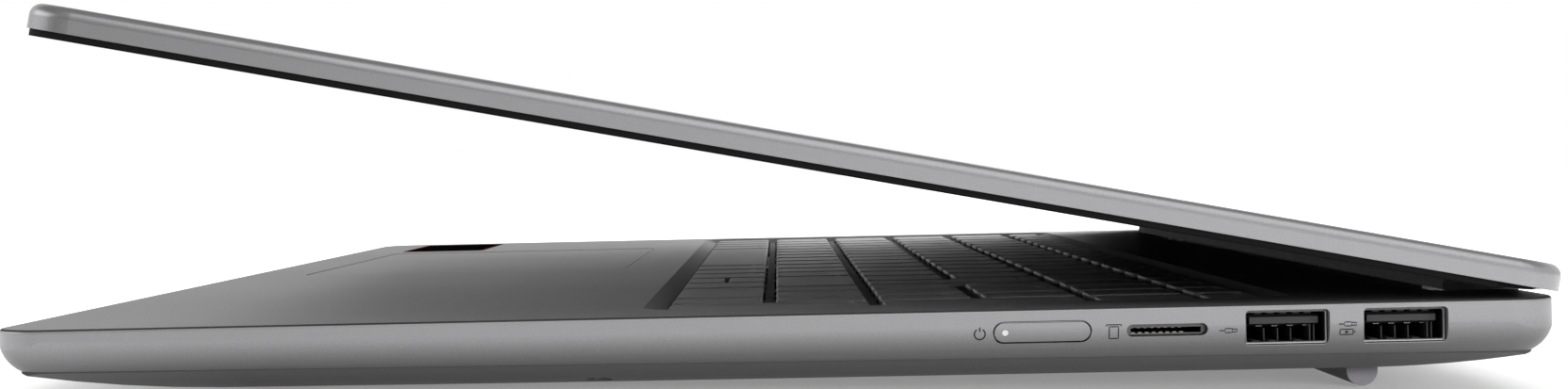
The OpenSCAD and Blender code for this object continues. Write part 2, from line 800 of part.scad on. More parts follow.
module arrow_outline(k, grow) {
    r = 1;
    polygon(concat(
        corner_points(k[2] + grow - r, k[4] + grow - r, r, 0),
        corner_points(k[1] - grow + r, k[4] + grow - r, r, 90),
        corner_points(k[1] - grow + r, k[3] - grow + r, r, 180),
        corner_points(k[2] + grow - r, k[3] - grow + r, r, 270)));
}

module keys(name) {
    color(KEY_GREY) placed() {
        for (k = KEYS)
            if (k[0] == name)
                cap_from() {
                    key_outline(k, 0);
                    key_outline(k, -key_inset);
                }
        if (name == "down_arrow_key") arrow_key(name, 0, arrow_h);
        if (name == "up_arrow_key") arrow_key(name, arrow_h + arrow_gap, cap_h);
    }
}

module enter_key() {
    color(KEY_GREY) placed() cap_from() {
        enter_outline(0);
        enter_outline(-key_inset);
    }
}

module keyboard_frame() {
    color(PLATE_GREY) placed() difference() {
        translate([opening_x, opening_y, 0]) {
            slab(opening_w - 0.1, opening_d - 0.1, opening_r, frame_bottom, frame_top);
            slab(opening_w + 2 * frame_flange, opening_d + 2 * frame_flange, opening_r,
                frame_bottom, -deck_t);
        }
        translate([0, 0, frame_bottom - 1]) linear_extrude(4) {
            for (k = KEYS) key_outline(k, key_clear);
            arrow_outline(arrow_cell, key_clear);
            enter_outline(key_clear);
        }
    }
}

// Middle of a key, and the middles of its rubber pads: a wide key has three.
function mid(a, b) = (a + b) / 2;
function pad_spots(k) = let (x = mid(k[1], k[2]), y = mid(k[3], k[4]))
    k[2] - k[1] > 60 ? [for (i = [-1:1]) [x + i * 36, y]] : [[x, y]];

module keyboard_plate() {
    rim = 1.5;
    pad_w = 4;
    pad_h = 0.6;
    color(STEEL) placed() {
        translate([opening_x, opening_y, 0]) difference() {
            slab(opening_w + 2 * frame_flange, opening_d + 2 * frame_flange, opening_r,
                key_plate_top - key_plate_t, frame_bottom);
            slab(opening_w + 2 * frame_flange - 2 * rim,
                opening_d + 2 * frame_flange - 2 * rim, opening_r - rim / 2,
                key_plate_top, frame_bottom + 1);
        }
        for (k = concat(KEYS, [enter_upper, enter_lower]), p = pad_spots(k))
            translate([p[0] - pad_w / 2, p[1] - pad_w / 2, key_plate_top - e])
                cube([pad_w, pad_w, pad_h + e]);
        for (part = [0.25, 0.75])
            translate([mid(arrow_cell[1], arrow_cell[2]) - pad_w / 2,
                arrow_cell[3] + part * cap_h - pad_w / 2, key_plate_top - e])
                cube([pad_w, pad_w, pad_h + e]);
    }
}

module touchpad() {
    color(ALUMINIUM) placed() translate([touchpad_x, touchpad_y, 0]) {
        slab(touchpad_w, touchpad_d, 2.5, touchpad_top - touchpad_t, touchpad_top);
        slab(touchpad_w - 12, touchpad_d - 16, 2, touchpad_top - touchpad_t - 0.9,
            touchpad_top - touchpad_t);
    }
}

// ---- Ports: each is drawn facing +X with its mouth at x = 0 ----
module at_port(side, y) {
    translate([side * (side_x - port_sunk), y, port_z])
        mirror([side < 0 ? 1 : 0, 0, 0]) children();
}

module port_shell(depth) {
    translate([-depth / 2, 0, 0]) difference() {
        along_x(depth) children(0);
        translate([1, 0, 0]) along_x(depth) children(1);
    }
}

module usb_a_port(y) {
    color(STEEL) placed() at_port(1, y) {
        port_shell(usb_a_depth) {
            plan(usb_a_w, usb_a_h, 0.55);
            plan(usb_a_w - 2 * shell_t, usb_a_h - 2 * shell_t, 0.3);
        }
        box_between([-usb_a_depth + 0.5, -5.6, 0.1], [-2.2, 5.6, 1.9]);
        box_between([-3, -5.5, 0.45], [-1.2, 5.5, 1.5]);
    }
}

module usb_a_front_port() {
    usb_a_port(usb_a_front_y);
}

module usb_a_rear_port() {
    usb_a_port(usb_a_rear_y);
}

module card_reader() {
    color(BLACK) placed() at_port(1, card_y) difference() {
        union() {
            translate([-4, 0, 0]) along_x(8) plan(card_w - 0.3, card_h - 0.3, card_h / 2 - 0.2);
            box_between([-14, -7.4, -1.3], [-inner_inset + port_sunk - 0.4, 7.4, 1.3]);
        }
        box_between([-12.5, -5.6, -0.55], [1, 5.6, 0.35]);
    }
}

module hdmi_outline(t) {
    polygon([[-hdmi_w / 2 + t, usb_a_h / 2 - t], [hdmi_w / 2 - t, usb_a_h / 2 - t],
        [hdmi_w / 2 - t, -0.6], [hdmi_w / 2 - 2 - t, -usb_a_h / 2 + t],
        [-hdmi_w / 2 + 2 + t, -usb_a_h / 2 + t], [-hdmi_w / 2 + t, -0.6]]);
}

module hdmi_port() {
    color(STEEL) placed() at_port(-1, hdmi_y) {
        port_shell(11) {
            hdmi_outline(0);
            hdmi_outline(shell_t);
        }
        box_between([-10.5, -5.6, -0.2], [-1.5, 5.6, 0.9]);
    }
}

module usb_c_ports() {
    color(STEEL) placed()
        for (y = [usb_c_rear_y, usb_c_rear_y - usb_c_pitch])
            at_port(-1, y) {
                port_shell(usb_c_depth) {
                    plan(usb_c_w, usb_c_h, usb_c_h / 2 - e);
                    plan(usb_c_w - 2 * shell_t, usb_c_h - 2 * shell_t,
                        usb_c_h / 2 - shell_t - e);
                }
                box_between([0.5 - usb_c_depth, -3.35, -0.35], [-1, 3.35, 0.35]);
                box_between([-usb_c_depth, -3, board_top - port_z],
                    [-inner_inset + port_sunk - 0.4, 3, -usb_c_h / 2 + 0.15]);
            }
}

module audio_jack() {
    color(BLACK) placed() at_port(-1, audio_y) difference() {
        union() {
            translate([-4, 0, 0]) rotate([0, 90, 0])
                cylinder(r = audio_nose_r, h = 4 + port_sunk - 0.8);
            box_between([-audio_bore_len - 0.6, -3.2, board_top - port_z],
                [-inner_inset + port_sunk - 0.4, 3.2, 1.7]);
        }
        translate([-audio_bore_len + port_sunk - 0.8, 0, 0]) rotate([0, 90, 0])
            cylinder(r = audio_bore_r, h = audio_bore_len + 2);
    }
}

module power_button() {
    color(ALUMINIUM) placed() {
        difference() {
            intersection() {
                translate([side_x - 5, power_y, power_z])
                    along_x(10) plan(power_len, power_h, power_h / 2 - e);
                case_form();
                box_between([side_x - inner_inset - 0.5, 0, -20], [big, rear_y, 0]);
            }
            translate([side_x - 2.5, power_light_y, power_z]) rotate([0, 90, 0])
                cylinder(r = power_light_r + 0.05, h = 5);
        }
        box_between([side_x - inner_inset - 1.5, power_y - power_len / 2 - 1, -6.2],
            [side_x - inner_inset - 0.45, power_y + power_len / 2 + 1, -deck_t - 0.15]);
    }
}

module power_light() {
    color("white") placed() intersection() {
        translate([side_x - 2.5, power_light_y, power_z]) rotate([0, 90, 0])
            cylinder(r = power_light_r, h = 5);
        case_form();
    }
}

// ---- Inside the base ----
module main_board() {
    color(BOARD_BLUE) placed() difference() {
        union() {
            box_between([-board_half, -14, board_bottom],
                [board_half, board_rear_y, board_top]);
            box_between([cpu_x - 12, cpu_y - 9, board_bottom - 0.5],
                [cpu_x + 12, cpu_y + 9, board_bottom]);
            for (x = [62:15:122])
                box_between([x, 60, board_bottom - 1], [x + 11, 72, board_bottom]);
            box_between([138, 4, board_bottom - 1.9], [144, 28, board_bottom]);
            box_between([-124, 48, board_bottom - 1.6], [-119, 72, board_bottom]);
            box_between([-160, audio_y + 3, board_bottom], [-148, -13, board_top]);
            box_between([0.3 - side_x + cover_inset + cover_rim_w, audio_y - 5, board_bottom],
                [-148, audio_y + 5, board_top]);
        }
        box_between([fan_x - fan_half - 1, fan_y - fan_half - 1, -20],
            [fan_x + fan_half + 1, big, 0]);
    }
}

module fan_housing() {
    color(BLACK) placed() {
        difference() {
            translate([fan_x, fan_y, 0])
                slab(2 * fan_half, 2 * fan_half, 6, fan_bottom, fan_top);
            translate([fan_x, fan_y, fan_bottom + fan_wall])
                cylinder(r = fan_well_r, h = fan_top - fan_bottom - 2 * fan_wall);
            box_between([fan_x - fan_well_r, fan_y, fan_bottom + fan_wall],
                [fan_x + fan_well_r, big, fan_top - fan_wall]);
            translate([fan_x, fan_y, fan_bottom - 1]) cylinder(r = fan_r - 6, h = 3);
        }
        translate([fan_x, fan_y, fan_bottom + fan_wall + 0.6])
            cylinder(r = fan_pin_r, h = fan_top - fan_bottom - fan_wall - 0.7);
    }
}

module fan_rotor() {
    low = fan_bottom + fan_wall + 0.3;
    high = fan_top - fan_wall - 0.3;
    color([0.12, 0.12, 0.12]) placed() translate([fan_x, fan_y, low]) difference() {
        union() {
            cylinder(r = 11, h = high - low);
            for (i = [0:fan_blades - 1])
                rotate([0, 0, i * 360 / fan_blades]) translate([10, 0, 0])
                    rotate([0, 0, 24]) cube([fan_r - 11, 0.6, high - low - 0.4]);
        }
        translate([0, 0, -1]) cylinder(r = fan_pin_r + hinge_fit, h = 10);
    }
}

// A flat pipe from the processor round the fan to the fins.
module heat_pipe() {
    turn_r = 12;
    run_x = fan_x + fan_half + 14;
    color([0.72, 0.42, 0.25]) placed() translate([0, 0, pipe_z]) {
        translate([cpu_x - 14, cpu_y - 11, 0])
            cube([28, 22, board_bottom - 0.5 - pipe_z]);
        linear_extrude(pipe_t) {
            translate([run_x + turn_r, cpu_y - pipe_w / 2])
                square([cpu_x - 13 - run_x - turn_r, pipe_w]);
            quarter_bend(run_x + turn_r, cpu_y + turn_r, turn_r, 180);
            translate([run_x - pipe_w / 2, cpu_y + turn_r])
                square([pipe_w, pipe_y - cpu_y - 2 * turn_r]);
            quarter_bend(run_x - turn_r, pipe_y - turn_r, turn_r, 0);
            translate([fan_x - sink_half, pipe_y - pipe_w / 2])
                square([run_x - turn_r - fan_x + sink_half, pipe_w]);
        }
    }
}

module quarter_bend(x, y, r, turn) {
    translate([x, y]) rotate(turn) intersection() {
        difference() {
            circle(r + pipe_w / 2);
            circle(r - pipe_w / 2);
        }
        square(r + pipe_w);
    }
}

module heat_sink() {
    fins = 32;
    pitch = 2 * sink_half / fins;
    low = pipe_z + pipe_t;
    high = recess_z - wall_t - 0.5;
    color(STEEL) placed() {
        box_between([fan_x - sink_half, sink_front_y, low],
            [fan_x + sink_half, sink_rear_y, low + 0.4]);
        for (i = [0:fins])
            translate([fan_x - sink_half + i * (2 * sink_half - 0.3) / fins, sink_front_y, low])
                cube([0.3, sink_rear_y - sink_front_y, high - low]);
    }
}

module battery() {
    low = floor_z(battery_front_y) + 0.3;
    cells = 4;
    cell_w = battery_w / cells;
    color([0.1, 0.1, 0.11]) placed() {
        for (i = [0:cells - 1])
            translate([(i + 0.5 - cells / 2) * cell_w, battery_front_y + battery_d / 2, 0])
                slab(cell_w - 1.6, battery_d, 2, low, low + battery_t);
        box_between([-battery_w / 2 + 2, battery_front_y + battery_d - 8, low],
            [battery_w / 2 - 2, battery_front_y + battery_d + 5, low + battery_t - 1]);
    }
}

module ssd() {
    color([0.08, 0.2, 0.12]) placed()
        box_between([58, 5, board_bottom - 2.3], [137.8, 27, board_bottom - 0.4]);
}

module wifi_card() {
    color([0.08, 0.2, 0.12]) placed()
        box_between([-154, 49, board_bottom - 1.9], [-124.2, 71, board_bottom - 0.3]);
}

module speakers() {
    low = floor_z(speaker_y - speaker_d / 2) + 0.7;
    color(BLACK) placed()
        for (s = [-1, 1])
            translate([s * speaker_x, speaker_y, 0]) difference() {
                slab(30, speaker_d, 4, low, low + 4.2);
                translate([0, 12, low - 1]) cylinder(r = 9, h = 1.6);
            }
}

// ---- Hinges: drawn on the right, mirrored to the left ----
module hinge_base() {
    color(STEEL) placed() difference() {
        union() {
            translate([knuckle_x, hinge_y, hinge_z]) rotate([0, 90, 0])
                cylinder(r = knuckle_r, h = knuckle_len, center = true);
            box_between([knuckle_x - knuckle_len / 2, notch_y - wall_t - 4,
                hinge_z - hinge_leaf_t / 2],
                [knuckle_x + knuckle_len / 2, hinge_y, hinge_z + hinge_leaf_t / 2]);
            box_between([knuckle_x - 13, notch_y - wall_t - 17, hinge_z - hinge_leaf_t / 2],
                [knuckle_x + 13, notch_y - wall_t - 0.4, hinge_z + hinge_leaf_t / 2]);
        }
        translate([knuckle_x, hinge_y, hinge_z]) rotate([0, 90, 0])
            cylinder(r = hinge_pin_r + hinge_fit, h = knuckle_len + 2, center = true);
        for (x = [-8, 8])
            translate([knuckle_x + x, notch_y - wall_t - 10, -20]) cylinder(r = 1.2, h = 20);
    }
}

module hinge_arm() {
    hub_x = knuckle_x + knuckle_len / 2 + 0.3;
    color(STEEL) lid_opened() {
        translate([knuckle_x - knuckle_len / 2 - 0.6, hinge_y, hinge_z]) rotate([0, 90, 0])
            cylinder(r = hinge_pin_r, h = knuckle_len + 4);
        translate([hub_x, hinge_y, hinge_z]) rotate([0, 90, 0])
            cylinder(r = knuckle_r, h = hinge_hub_len);
        box_between([hub_x, hinge_y - 2.4, hinge_z],
            [hub_x + hinge_hub_len, hinge_y + 2.4, rim_z + hinge_leaf_t]);
        box_between([knuckle_x - 8, leaf_front_y, rim_z],
            [hub_x + hinge_hub_len, hinge_y + 2.4, rim_z + hinge_leaf_t]);
    }
}

module right_hinge_base() {
    hinge_base();
}

module left_hinge_base() {
    mirror([1, 0, 0]) hinge_base();
}

module right_hinge_arm() {
    hinge_arm();
}

module left_hinge_arm() {
    mirror([1, 0, 0]) hinge_arm();
}

// ---- Lid, drawn shut and then opened ----
module hinge_cover() {
    web_front_y = hinge_y - 0.8 * barrel_r;
    web_rear_y = hinge_y + 0.9 * barrel_r;
    color(BLACK) lid_opened() difference() {
        union() {
            translate([-hinge_cover_half, hinge_y, hinge_z]) rotate([0, 90, 0])
                cylinder(r = barrel_r, h = 2 * hinge_cover_half);
            along_x(2 * hinge_cover_half)
                polygon([[strip_front_y, strip_z], [strip_front_y, bezel_z],
                    [lid_inner_rear_y, bezel_z], [lid_inner_rear_y, rim_z],
                    [web_rear_y, rim_z], [web_rear_y, hinge_z],
                    [web_front_y, hinge_z], [web_front_y, strip_z]]);
        }
        for (s = [-1, 1])
            translate([s * hinge_mid_x - hinge_gap_half, hinge_y - barrel_r - 0.6, -20])
                cube([2 * hinge_gap_half, 20, 30]);
    }
}

module lid_cover() {
    hollow_w = base_w - 3.6;
    hollow_front_y = front_y + 1.8;
    hollow_d = lid_inner_rear_y - hollow_front_y;
    color(ALUMINIUM) lid_opened() difference() {
        slab(base_w, base_d, corner_r, rim_z, lid_top_z);
        translate([0, 0, lid_top_z]) ring(base_w, base_d, corner_r) fillet_section(lid_edge_r);
        translate([0, hollow_front_y + hollow_d / 2, 0])
            slab(hollow_w, hollow_d, 5, rim_z - 1, lid_top_z - lid_skin);
        for (s = [-1, 1])
            translate([s * hinge_mid_x, 0, 0])
                box_between([-14.5, lid_inner_rear_y - 2, rim_z - 1],
                    [14.5, hinge_y + 2.7, rim_z + hinge_leaf_t + 0.1]);
    }
}

module display_panel() {
    margin = 1.2;
    color([0.02, 0.02, 0.025]) lid_opened()
        translate([0, screen_y, 0])
            slab(screen_w + 2 * margin, screen_h + 2 * margin, 1, rim_z, lid_top_z - lid_skin);
}

module frame_outline(inset) {
    intersection() {
        plan(base_w - 2 * inset, base_d - 2 * inset, corner_r - inset);
        translate([-big / 2, front_y]) square([big, lid_inner_rear_y - 0.1 - front_y]);
    }
}

module screen_frame() {
    color(BLACK) lid_opened() difference() {
        translate([0, 0, bezel_z]) linear_extrude(bezel_t) frame_outline(frame_inset);
        translate([0, screen_y, 0]) slab(screen_w, screen_h, 1.5, bezel_z - 1, rim_z + 1);
        translate([0, camera_y, bezel_z - 1]) cylinder(r = camera_r + 0.2, h = 4);
    }
}

module screen_seal() {
    color(BLACK) lid_opened() translate([0, 0, seal_z]) linear_extrude(gasket_t)
        difference() {
            frame_outline(frame_inset);
            translate([0, 10])
                plan(base_w - 2 * (frame_inset + gasket_w),
                    base_d - 2 * (frame_inset + gasket_w) + 20,
                    corner_r - frame_inset - gasket_w);
        }
}

module camera() {
    color([0.05, 0.05, 0.08]) lid_opened() {
        box_between([-5, camera_y - 1.6, rim_z], [5, camera_y + 1.6, rim_z + 1.8]);
        translate([0, camera_y, bezel_z + 0.1]) cylinder(r = camera_r, h = 1);
    }
}

top_case();
bottom_cover();
bottom_screws();
front_feet();
rear_foot();
keyboard_frame();
keyboard_plate();
usb_a_front_port();
usb_a_rear_port();
card_reader();
hdmi_port();
usb_c_ports();
audio_jack();
battery();
main_board();
fan_housing();
fan_rotor();
heat_pipe();
heat_sink();
ssd();
wifi_card();
speakers();
left_hinge_base();
right_hinge_base();
left_hinge_arm();
right_hinge_arm();
hinge_cover();
lid_cover();
display_panel();
screen_frame();
screen_seal();
camera();
power_button();
power_light();
touchpad();
enter_key();
for (name = KEY_NODES)
    keys(name);
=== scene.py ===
"""Looks of a slim metal laptop: smooth key caps with legends, port details, marks and finishes."""

import json
import math

import bmesh
import bpy
from mathutils import Matrix, Vector
from mathutils.bvhtree import BVHTree


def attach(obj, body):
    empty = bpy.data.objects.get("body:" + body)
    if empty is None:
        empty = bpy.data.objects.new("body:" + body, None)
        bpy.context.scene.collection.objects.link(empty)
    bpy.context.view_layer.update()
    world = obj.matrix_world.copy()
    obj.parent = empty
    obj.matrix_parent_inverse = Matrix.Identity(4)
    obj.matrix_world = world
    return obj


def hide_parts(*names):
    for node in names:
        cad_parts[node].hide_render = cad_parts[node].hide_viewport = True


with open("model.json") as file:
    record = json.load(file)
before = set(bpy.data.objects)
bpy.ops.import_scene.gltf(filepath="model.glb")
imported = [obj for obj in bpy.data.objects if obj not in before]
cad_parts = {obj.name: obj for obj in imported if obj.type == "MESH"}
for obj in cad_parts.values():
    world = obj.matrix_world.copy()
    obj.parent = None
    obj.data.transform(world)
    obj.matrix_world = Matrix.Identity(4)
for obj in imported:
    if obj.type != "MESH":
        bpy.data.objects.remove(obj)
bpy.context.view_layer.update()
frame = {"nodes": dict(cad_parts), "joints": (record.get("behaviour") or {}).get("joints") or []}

MM = 0.001
WHITE = (1, 1, 1, 1)

# ---- Frames of reference: the deck as drawn, and the lid drawn shut, both in millimetres ----
JOINT = {j["name"]: j for j in frame["joints"]}
HINGE_DECK = Vector((0.0, 122.3, -5.0))
PRESS = JOINT["space_bar_press"]["axis"]
REST_OPEN = -JOINT["lid_hinge"]["range_deg"][0]
TILT = Matrix.Rotation(math.atan2(PRESS[1], -PRESS[2]), 4, "X")
DECK = Matrix.Translation(Vector(JOINT["lid_hinge"]["pos_m"]) / MM - TILT @ HINGE_DECK) @ TILT
LID = (DECK @ Matrix.Translation(HINGE_DECK)
       @ Matrix.Rotation(math.radians(-REST_OPEN), 4, "X") @ Matrix.Translation(-HINGE_DECK))
DECK_INVERSE = DECK.inverted()


def deck_points(node):
    """The points of a CAD node in the deck's frame."""
    return [DECK_INVERSE @ (v.co / MM) for v in frame["nodes"][node].data.vertices]


# ---- Node trees ----
class Nodes:
    """Short ways to add and join the nodes of one tree."""

    def __init__(self, tree):
        self.tree = tree

    def put(self, value, socket):
        """Joins another node's output to a socket, or sets the socket to a constant."""
        if isinstance(value, bpy.types.NodeSocket):
            self.tree.links.new(value, socket)
        else:
            socket.default_value = value

    def add(self, kind, **values):
        """A new node; each value goes to its property of that name, or else to its input."""
        node = self.tree.nodes.new(kind)
        for key, value in values.items():
            if hasattr(node, key):
                setattr(node, key, value)
            else:
                self.put(value, node.inputs[key.replace("_", " ")])
        return node

    def maths(self, operation, *values):
        node = self.add("ShaderNodeMath", operation=operation)
        for value, socket in zip(values, node.inputs):
            self.put(value, socket)
        return node.outputs[0]

    def along(self, place, direction):
        """The dot product of a place and a fixed direction."""
        node = self.add("ShaderNodeVectorMath", operation="DOT_PRODUCT")
        self.put(place, node.inputs[0])
        self.put(direction, node.inputs[1])
        return node.outputs["Value"]

    def mapped(self, value, start, end, smooth=True):
        """Maps a value from start (at, to) to end (at, to), and holds it beyond them."""
        node = self.add("ShaderNodeMapRange", From_Min=start[0], From_Max=end[0],
                        To_Min=start[1], To_Max=end[1], Value=value,
                        interpolation_type="SMOOTHSTEP" if smooth else "LINEAR")
        return node.outputs["Result"]


def new_material(name):
    """A new material, its nodes and its Principled shader."""
    mat = bpy.data.materials.new(name)
    mat.use_nodes = True
    return mat, Nodes(mat.node_tree), mat.node_tree.nodes["Principled BSDF"]


# ---- Materials ----
BROAD_SCALE = 14.0  # size of the broad variation: cells per metre
BROAD_SHARE = 0.2  # its strength, next to the fine grain's
TONE_SPAN = (0.38, 0.62)  # where the pattern turns from the darker to the lighter colour
GLOSS_SPAN = (0.35, 0.65)  # where it turns from the glossier to the duller finish
RELIEF = 0.25  # depth of the grain, in grain sizes
SMOOTHEST = 0.02


def shade_downwards(nodes, place, tone, top, bottom, share):
    """Painted shade: darkens a colour to a share of itself between two depths below the deck."""
    up = DECK_INVERSE[2]
    level = nodes.mapped(nodes.along(place, up.xyz), ((bottom - up.w) * MM, share),
                         ((top - up.w) * MM, 1.0))
    scaled = nodes.add("ShaderNodeVectorMath", operation="SCALE", Scale=level)
    nodes.put(tone, scaled.inputs[0])
    return scaled.outputs["Vector"]


def grained(name, colour, roughness, metallic=0.0, grain_mm=0.2, bump=0.15, vary=0.06,
            rough_vary=0.05, specular=0.5, coat=0.0, downward_painted_shade=None):
    """A finish with fine grain, slight broad variation and slightly uneven gloss.
    Its last argument, (top, bottom, share), paints shade: it darkens the finish between two depths
    below the deck."""
    mat, nodes, shader = new_material(name)
    place = nodes.add("ShaderNodeTexCoord").outputs["Object"]
    fine = nodes.add("ShaderNodeTexNoise", Vector=place, Scale=1.0 / (grain_mm * MM),
                     Detail=2.0, Roughness=0.6).outputs["Fac"]
    broad = nodes.add("ShaderNodeTexNoise", Vector=place, Scale=BROAD_SCALE,
                      Detail=4.0, Roughness=0.55).outputs["Fac"]
    pattern = nodes.maths("DIVIDE", nodes.maths("MULTIPLY_ADD", broad, BROAD_SHARE, fine),
                          1.0 + BROAD_SHARE)
    ramp = nodes.add("ShaderNodeValToRGB", Fac=pattern)
    for element, at, share in zip(ramp.color_ramp.elements, TONE_SPAN, (1 - vary, 1 + vary)):
        element.position = at
        element.color = (*[min(1.0, c * share) for c in colour], 1.0)
    tone = ramp.outputs["Color"]
    if downward_painted_shade:
        tone = shade_downwards(nodes, place, tone, *downward_painted_shade)
    nodes.put(tone, shader.inputs["Base Color"])
    duller = nodes.mapped(pattern, (GLOSS_SPAN[0], max(SMOOTHEST, roughness - rough_vary)),
                          (GLOSS_SPAN[1], min(1.0, roughness + rough_vary)), smooth=False)
    nodes.put(duller, shader.inputs["Roughness"])
    relief = nodes.add("ShaderNodeBump", Strength=bump, Distance=grain_mm * MM * RELIEF,
                       Height=fine)
    nodes.put(relief.outputs["Normal"], shader.inputs["Normal"])
    shader.inputs["Metallic"].default_value = metallic
    shader.inputs["Specular IOR Level"].default_value = specular
    shader.inputs["Coat Weight"].default_value = coat
    return mat


METAL = grained("anodised_metal", (0.31, 0.31, 0.316), 0.3, metallic=0.65, grain_mm=0.17,
                bump=0.3, vary=0.09, rough_vary=0.02, specular=0.2)
# painted shade: the base's side wall darkens downwards to 60 percent of its colour, from 2.2 to
# 7.4 mm below the deck
BASE_METAL = grained("base_metal", (0.32, 0.32, 0.326), 0.4, metallic=0.65, grain_mm=0.17,
                     bump=0.3, vary=0.09, specular=0.2, downward_painted_shade=(-2.2, -7.4, 0.6))
# painted shade: the deck's flat is darker than the lid's metal, standing for the lid's shade over
# it
DECK_SHADE_METAL = grained("deck_metal_painted_shade", (0.17, 0.17, 0.174), 0.39, metallic=0.68, grain_mm=0.28,
                     bump=0.4, vary=0.07, specular=0.2)
# painted shade: the slope into the key well is painted darker than the base's metal
WELL_SHADE = grained("well_slope_painted_shade", (0.26, 0.26, 0.264), 0.55, metallic=0.5, grain_mm=0.28, bump=0.3,
               vary=0.08, specular=0.1)
SEAM = grained("seam_shade", (0.12, 0.12, 0.122), 0.7, metallic=0.3, grain_mm=0.2, bump=0.2,
               vary=0.08, specular=0.05)
RIM = grained("slot_rim", (0.13, 0.13, 0.13), 0.4, metallic=0.6, grain_mm=0.15, bump=0.2,
              vary=0.08, specular=0.2)
# painted shade: a near-black band on the deck's rounded metal edge
EDGE_SHADE = grained("deck_edge_painted_shade", (0.05, 0.05, 0.051), 0.6, metallic=0.3, grain_mm=0.28, bump=0.3,
               vary=0.08, specular=0.05)
COVER_METAL = grained("cover_metal", (0.15, 0.15, 0.155), 0.5, metallic=0.5, grain_mm=0.28,
                      bump=0.5, vary=0.09, specular=0.15)
KEY = grained("key_plastic", (0.165, 0.166, 0.169), 0.4, grain_mm=0.16, bump=0.25, vary=0.06,
              specular=0.5)
FRAME_GREY = grained("keyboard_frame_plastic", (0.1, 0.1, 0.102), 0.6, grain_mm=0.18,
                     bump=0.3, vary=0.06, specular=0.3)
# painted shade: the touchpad is as dark as the deck, standing for the lid's shade over it
PAD_SHADE = grained("touchpad_painted_shade", (0.175, 0.175, 0.179), 0.39, metallic=0.66, grain_mm=0.16,
              bump=0.2, vary=0.05, specular=0.2)
BLACK = grained("black_plastic", (0.012, 0.012, 0.0125), 0.7, grain_mm=0.15, bump=0.35,
                vary=0.12, specular=0.05)
BAR = grained("hinge_cover_plastic", (0.22, 0.22, 0.223), 0.6, grain_mm=0.15, bump=0.3,
              vary=0.1, specular=0.1)
SEAL = grained("seal_rubber", (0.008, 0.008, 0.008), 0.8, grain_mm=0.25, bump=0.4, vary=0.12,
               specular=0.05)
FOOT = grained("foot_rubber", (0.36, 0.35, 0.38), 0.6, grain_mm=0.25, bump=0.35, vary=0.08,
               specular=0.3)
STEEL = grained("steel", (0.55, 0.55, 0.54), 0.3, metallic=1.0, grain_mm=0.1, bump=0.15,
                vary=0.05)
DARK_STEEL = grained("shell_steel", (0.3, 0.29, 0.28), 0.34, metallic=1.0, grain_mm=0.1,
                     bump=0.2, vary=0.08)
HINGE_STEEL = grained("hinge_steel", (0.07, 0.07, 0.072), 0.45, metallic=0.7, grain_mm=0.15,
                      bump=0.2, vary=0.1)
GOLD = grained("contact_gold", (0.4, 0.37, 0.32), 0.4, metallic=1.0, grain_mm=0.1, bump=0.1)
COPPER = grained("copper", (0.72, 0.36, 0.22), 0.35, metallic=1.0, grain_mm=0.3, bump=0.2,
                 vary=0.1)
BOARD = grained("circuit_board", (0.01, 0.05, 0.07), 0.38, grain_mm=0.6, bump=0.2, vary=0.25)
FILM = grained("battery_film", (0.02, 0.02, 0.021), 0.5, grain_mm=0.4, bump=0.25, vary=0.1)
SCREEN = grained("screen_glass", (0.006, 0.006, 0.008), 0.28, grain_mm=0.08, bump=0.05,
                 vary=0.1, specular=0.3)
LENS = grained("lens", (0.01, 0.01, 0.03), 0.08, grain_mm=0.1, bump=0.0, specular=0.8, coat=1.0)
LEGEND = grained("legend_ink", (0.85, 0.85, 0.86), 0.5, grain_mm=0.1, bump=0.1, vary=0.05)
MARK = grained("mark_ink", (0.02, 0.02, 0.021), 0.6, grain_mm=0.1, bump=0.1, vary=0.05,
               specular=0.1)
LIGHT = grained("light_lens", (0.9, 0.9, 0.88), 0.3, grain_mm=0.1, bump=0.05)
TONGUE = grained("port_tongue", (0.04, 0.04, 0.039), 0.5, grain_mm=0.12, bump=0.15, vary=0.08)
SPRING = grained("port_spring", (0.035, 0.035, 0.034), 0.5, grain_mm=0.12, bump=0.15,
                 vary=0.08, specular=0.3)
# painted highlight: a pale metal for strips that stand for light caught on the slots' edges
EDGE_HIGHLIGHT = grained("slot_edge_painted_highlight", (0.5, 0.5, 0.505), 0.35, metallic=0.6, grain_mm=0.15,
                  bump=0.2, vary=0.06)
STICKER = grained("sticker_film", (0.006, 0.006, 0.007), 0.9, grain_mm=0.3, bump=0.1,
                  vary=0.15, specular=0.0)
STICKER_EDGE = grained("sticker_border", (0.3, 0.012, 0.015), 0.9, grain_mm=0.3, bump=0.1,
                       vary=0.1, specular=0.0)

NODE_MATERIAL = {
    METAL: ["lid_cover"],
    BASE_METAL: ["top_case", "power_button"],
    COVER_METAL: ["bottom_cover"],
    FRAME_GREY: ["keyboard_frame"],
    PAD_SHADE: ["touchpad"],
    BLACK: ["card_reader", "audio_jack", "fan_housing", "fan_rotor", "speakers", "screen_frame"],
    BAR: ["hinge_cover"],
    SEAL: ["screen_seal"],
    FOOT: ["front_feet", "rear_foot"],
    STEEL: ["bottom_screws", "keyboard_plate", "heat_sink"],
    DARK_STEEL: ["usb_a_front_port", "usb_a_rear_port", "hdmi_port", "usb_c_ports"],
    HINGE_STEEL: ["left_hinge_base", "right_hinge_base", "left_hinge_arm", "right_hinge_arm"],
    COPPER: ["heat_pipe"],
    BOARD: ["main_board", "ssd", "wifi_card"],
    FILM: ["battery"],
    SCREEN: ["display_panel"],
    LENS: ["camera"],
    LIGHT: ["power_light"],
}


def dress_nodes():
    for mat, names in NODE_MATERIAL.items():
        for name in names:
            mesh = frame["nodes"][name].data
            mesh.materials.clear()
            mesh.materials.append(mat)


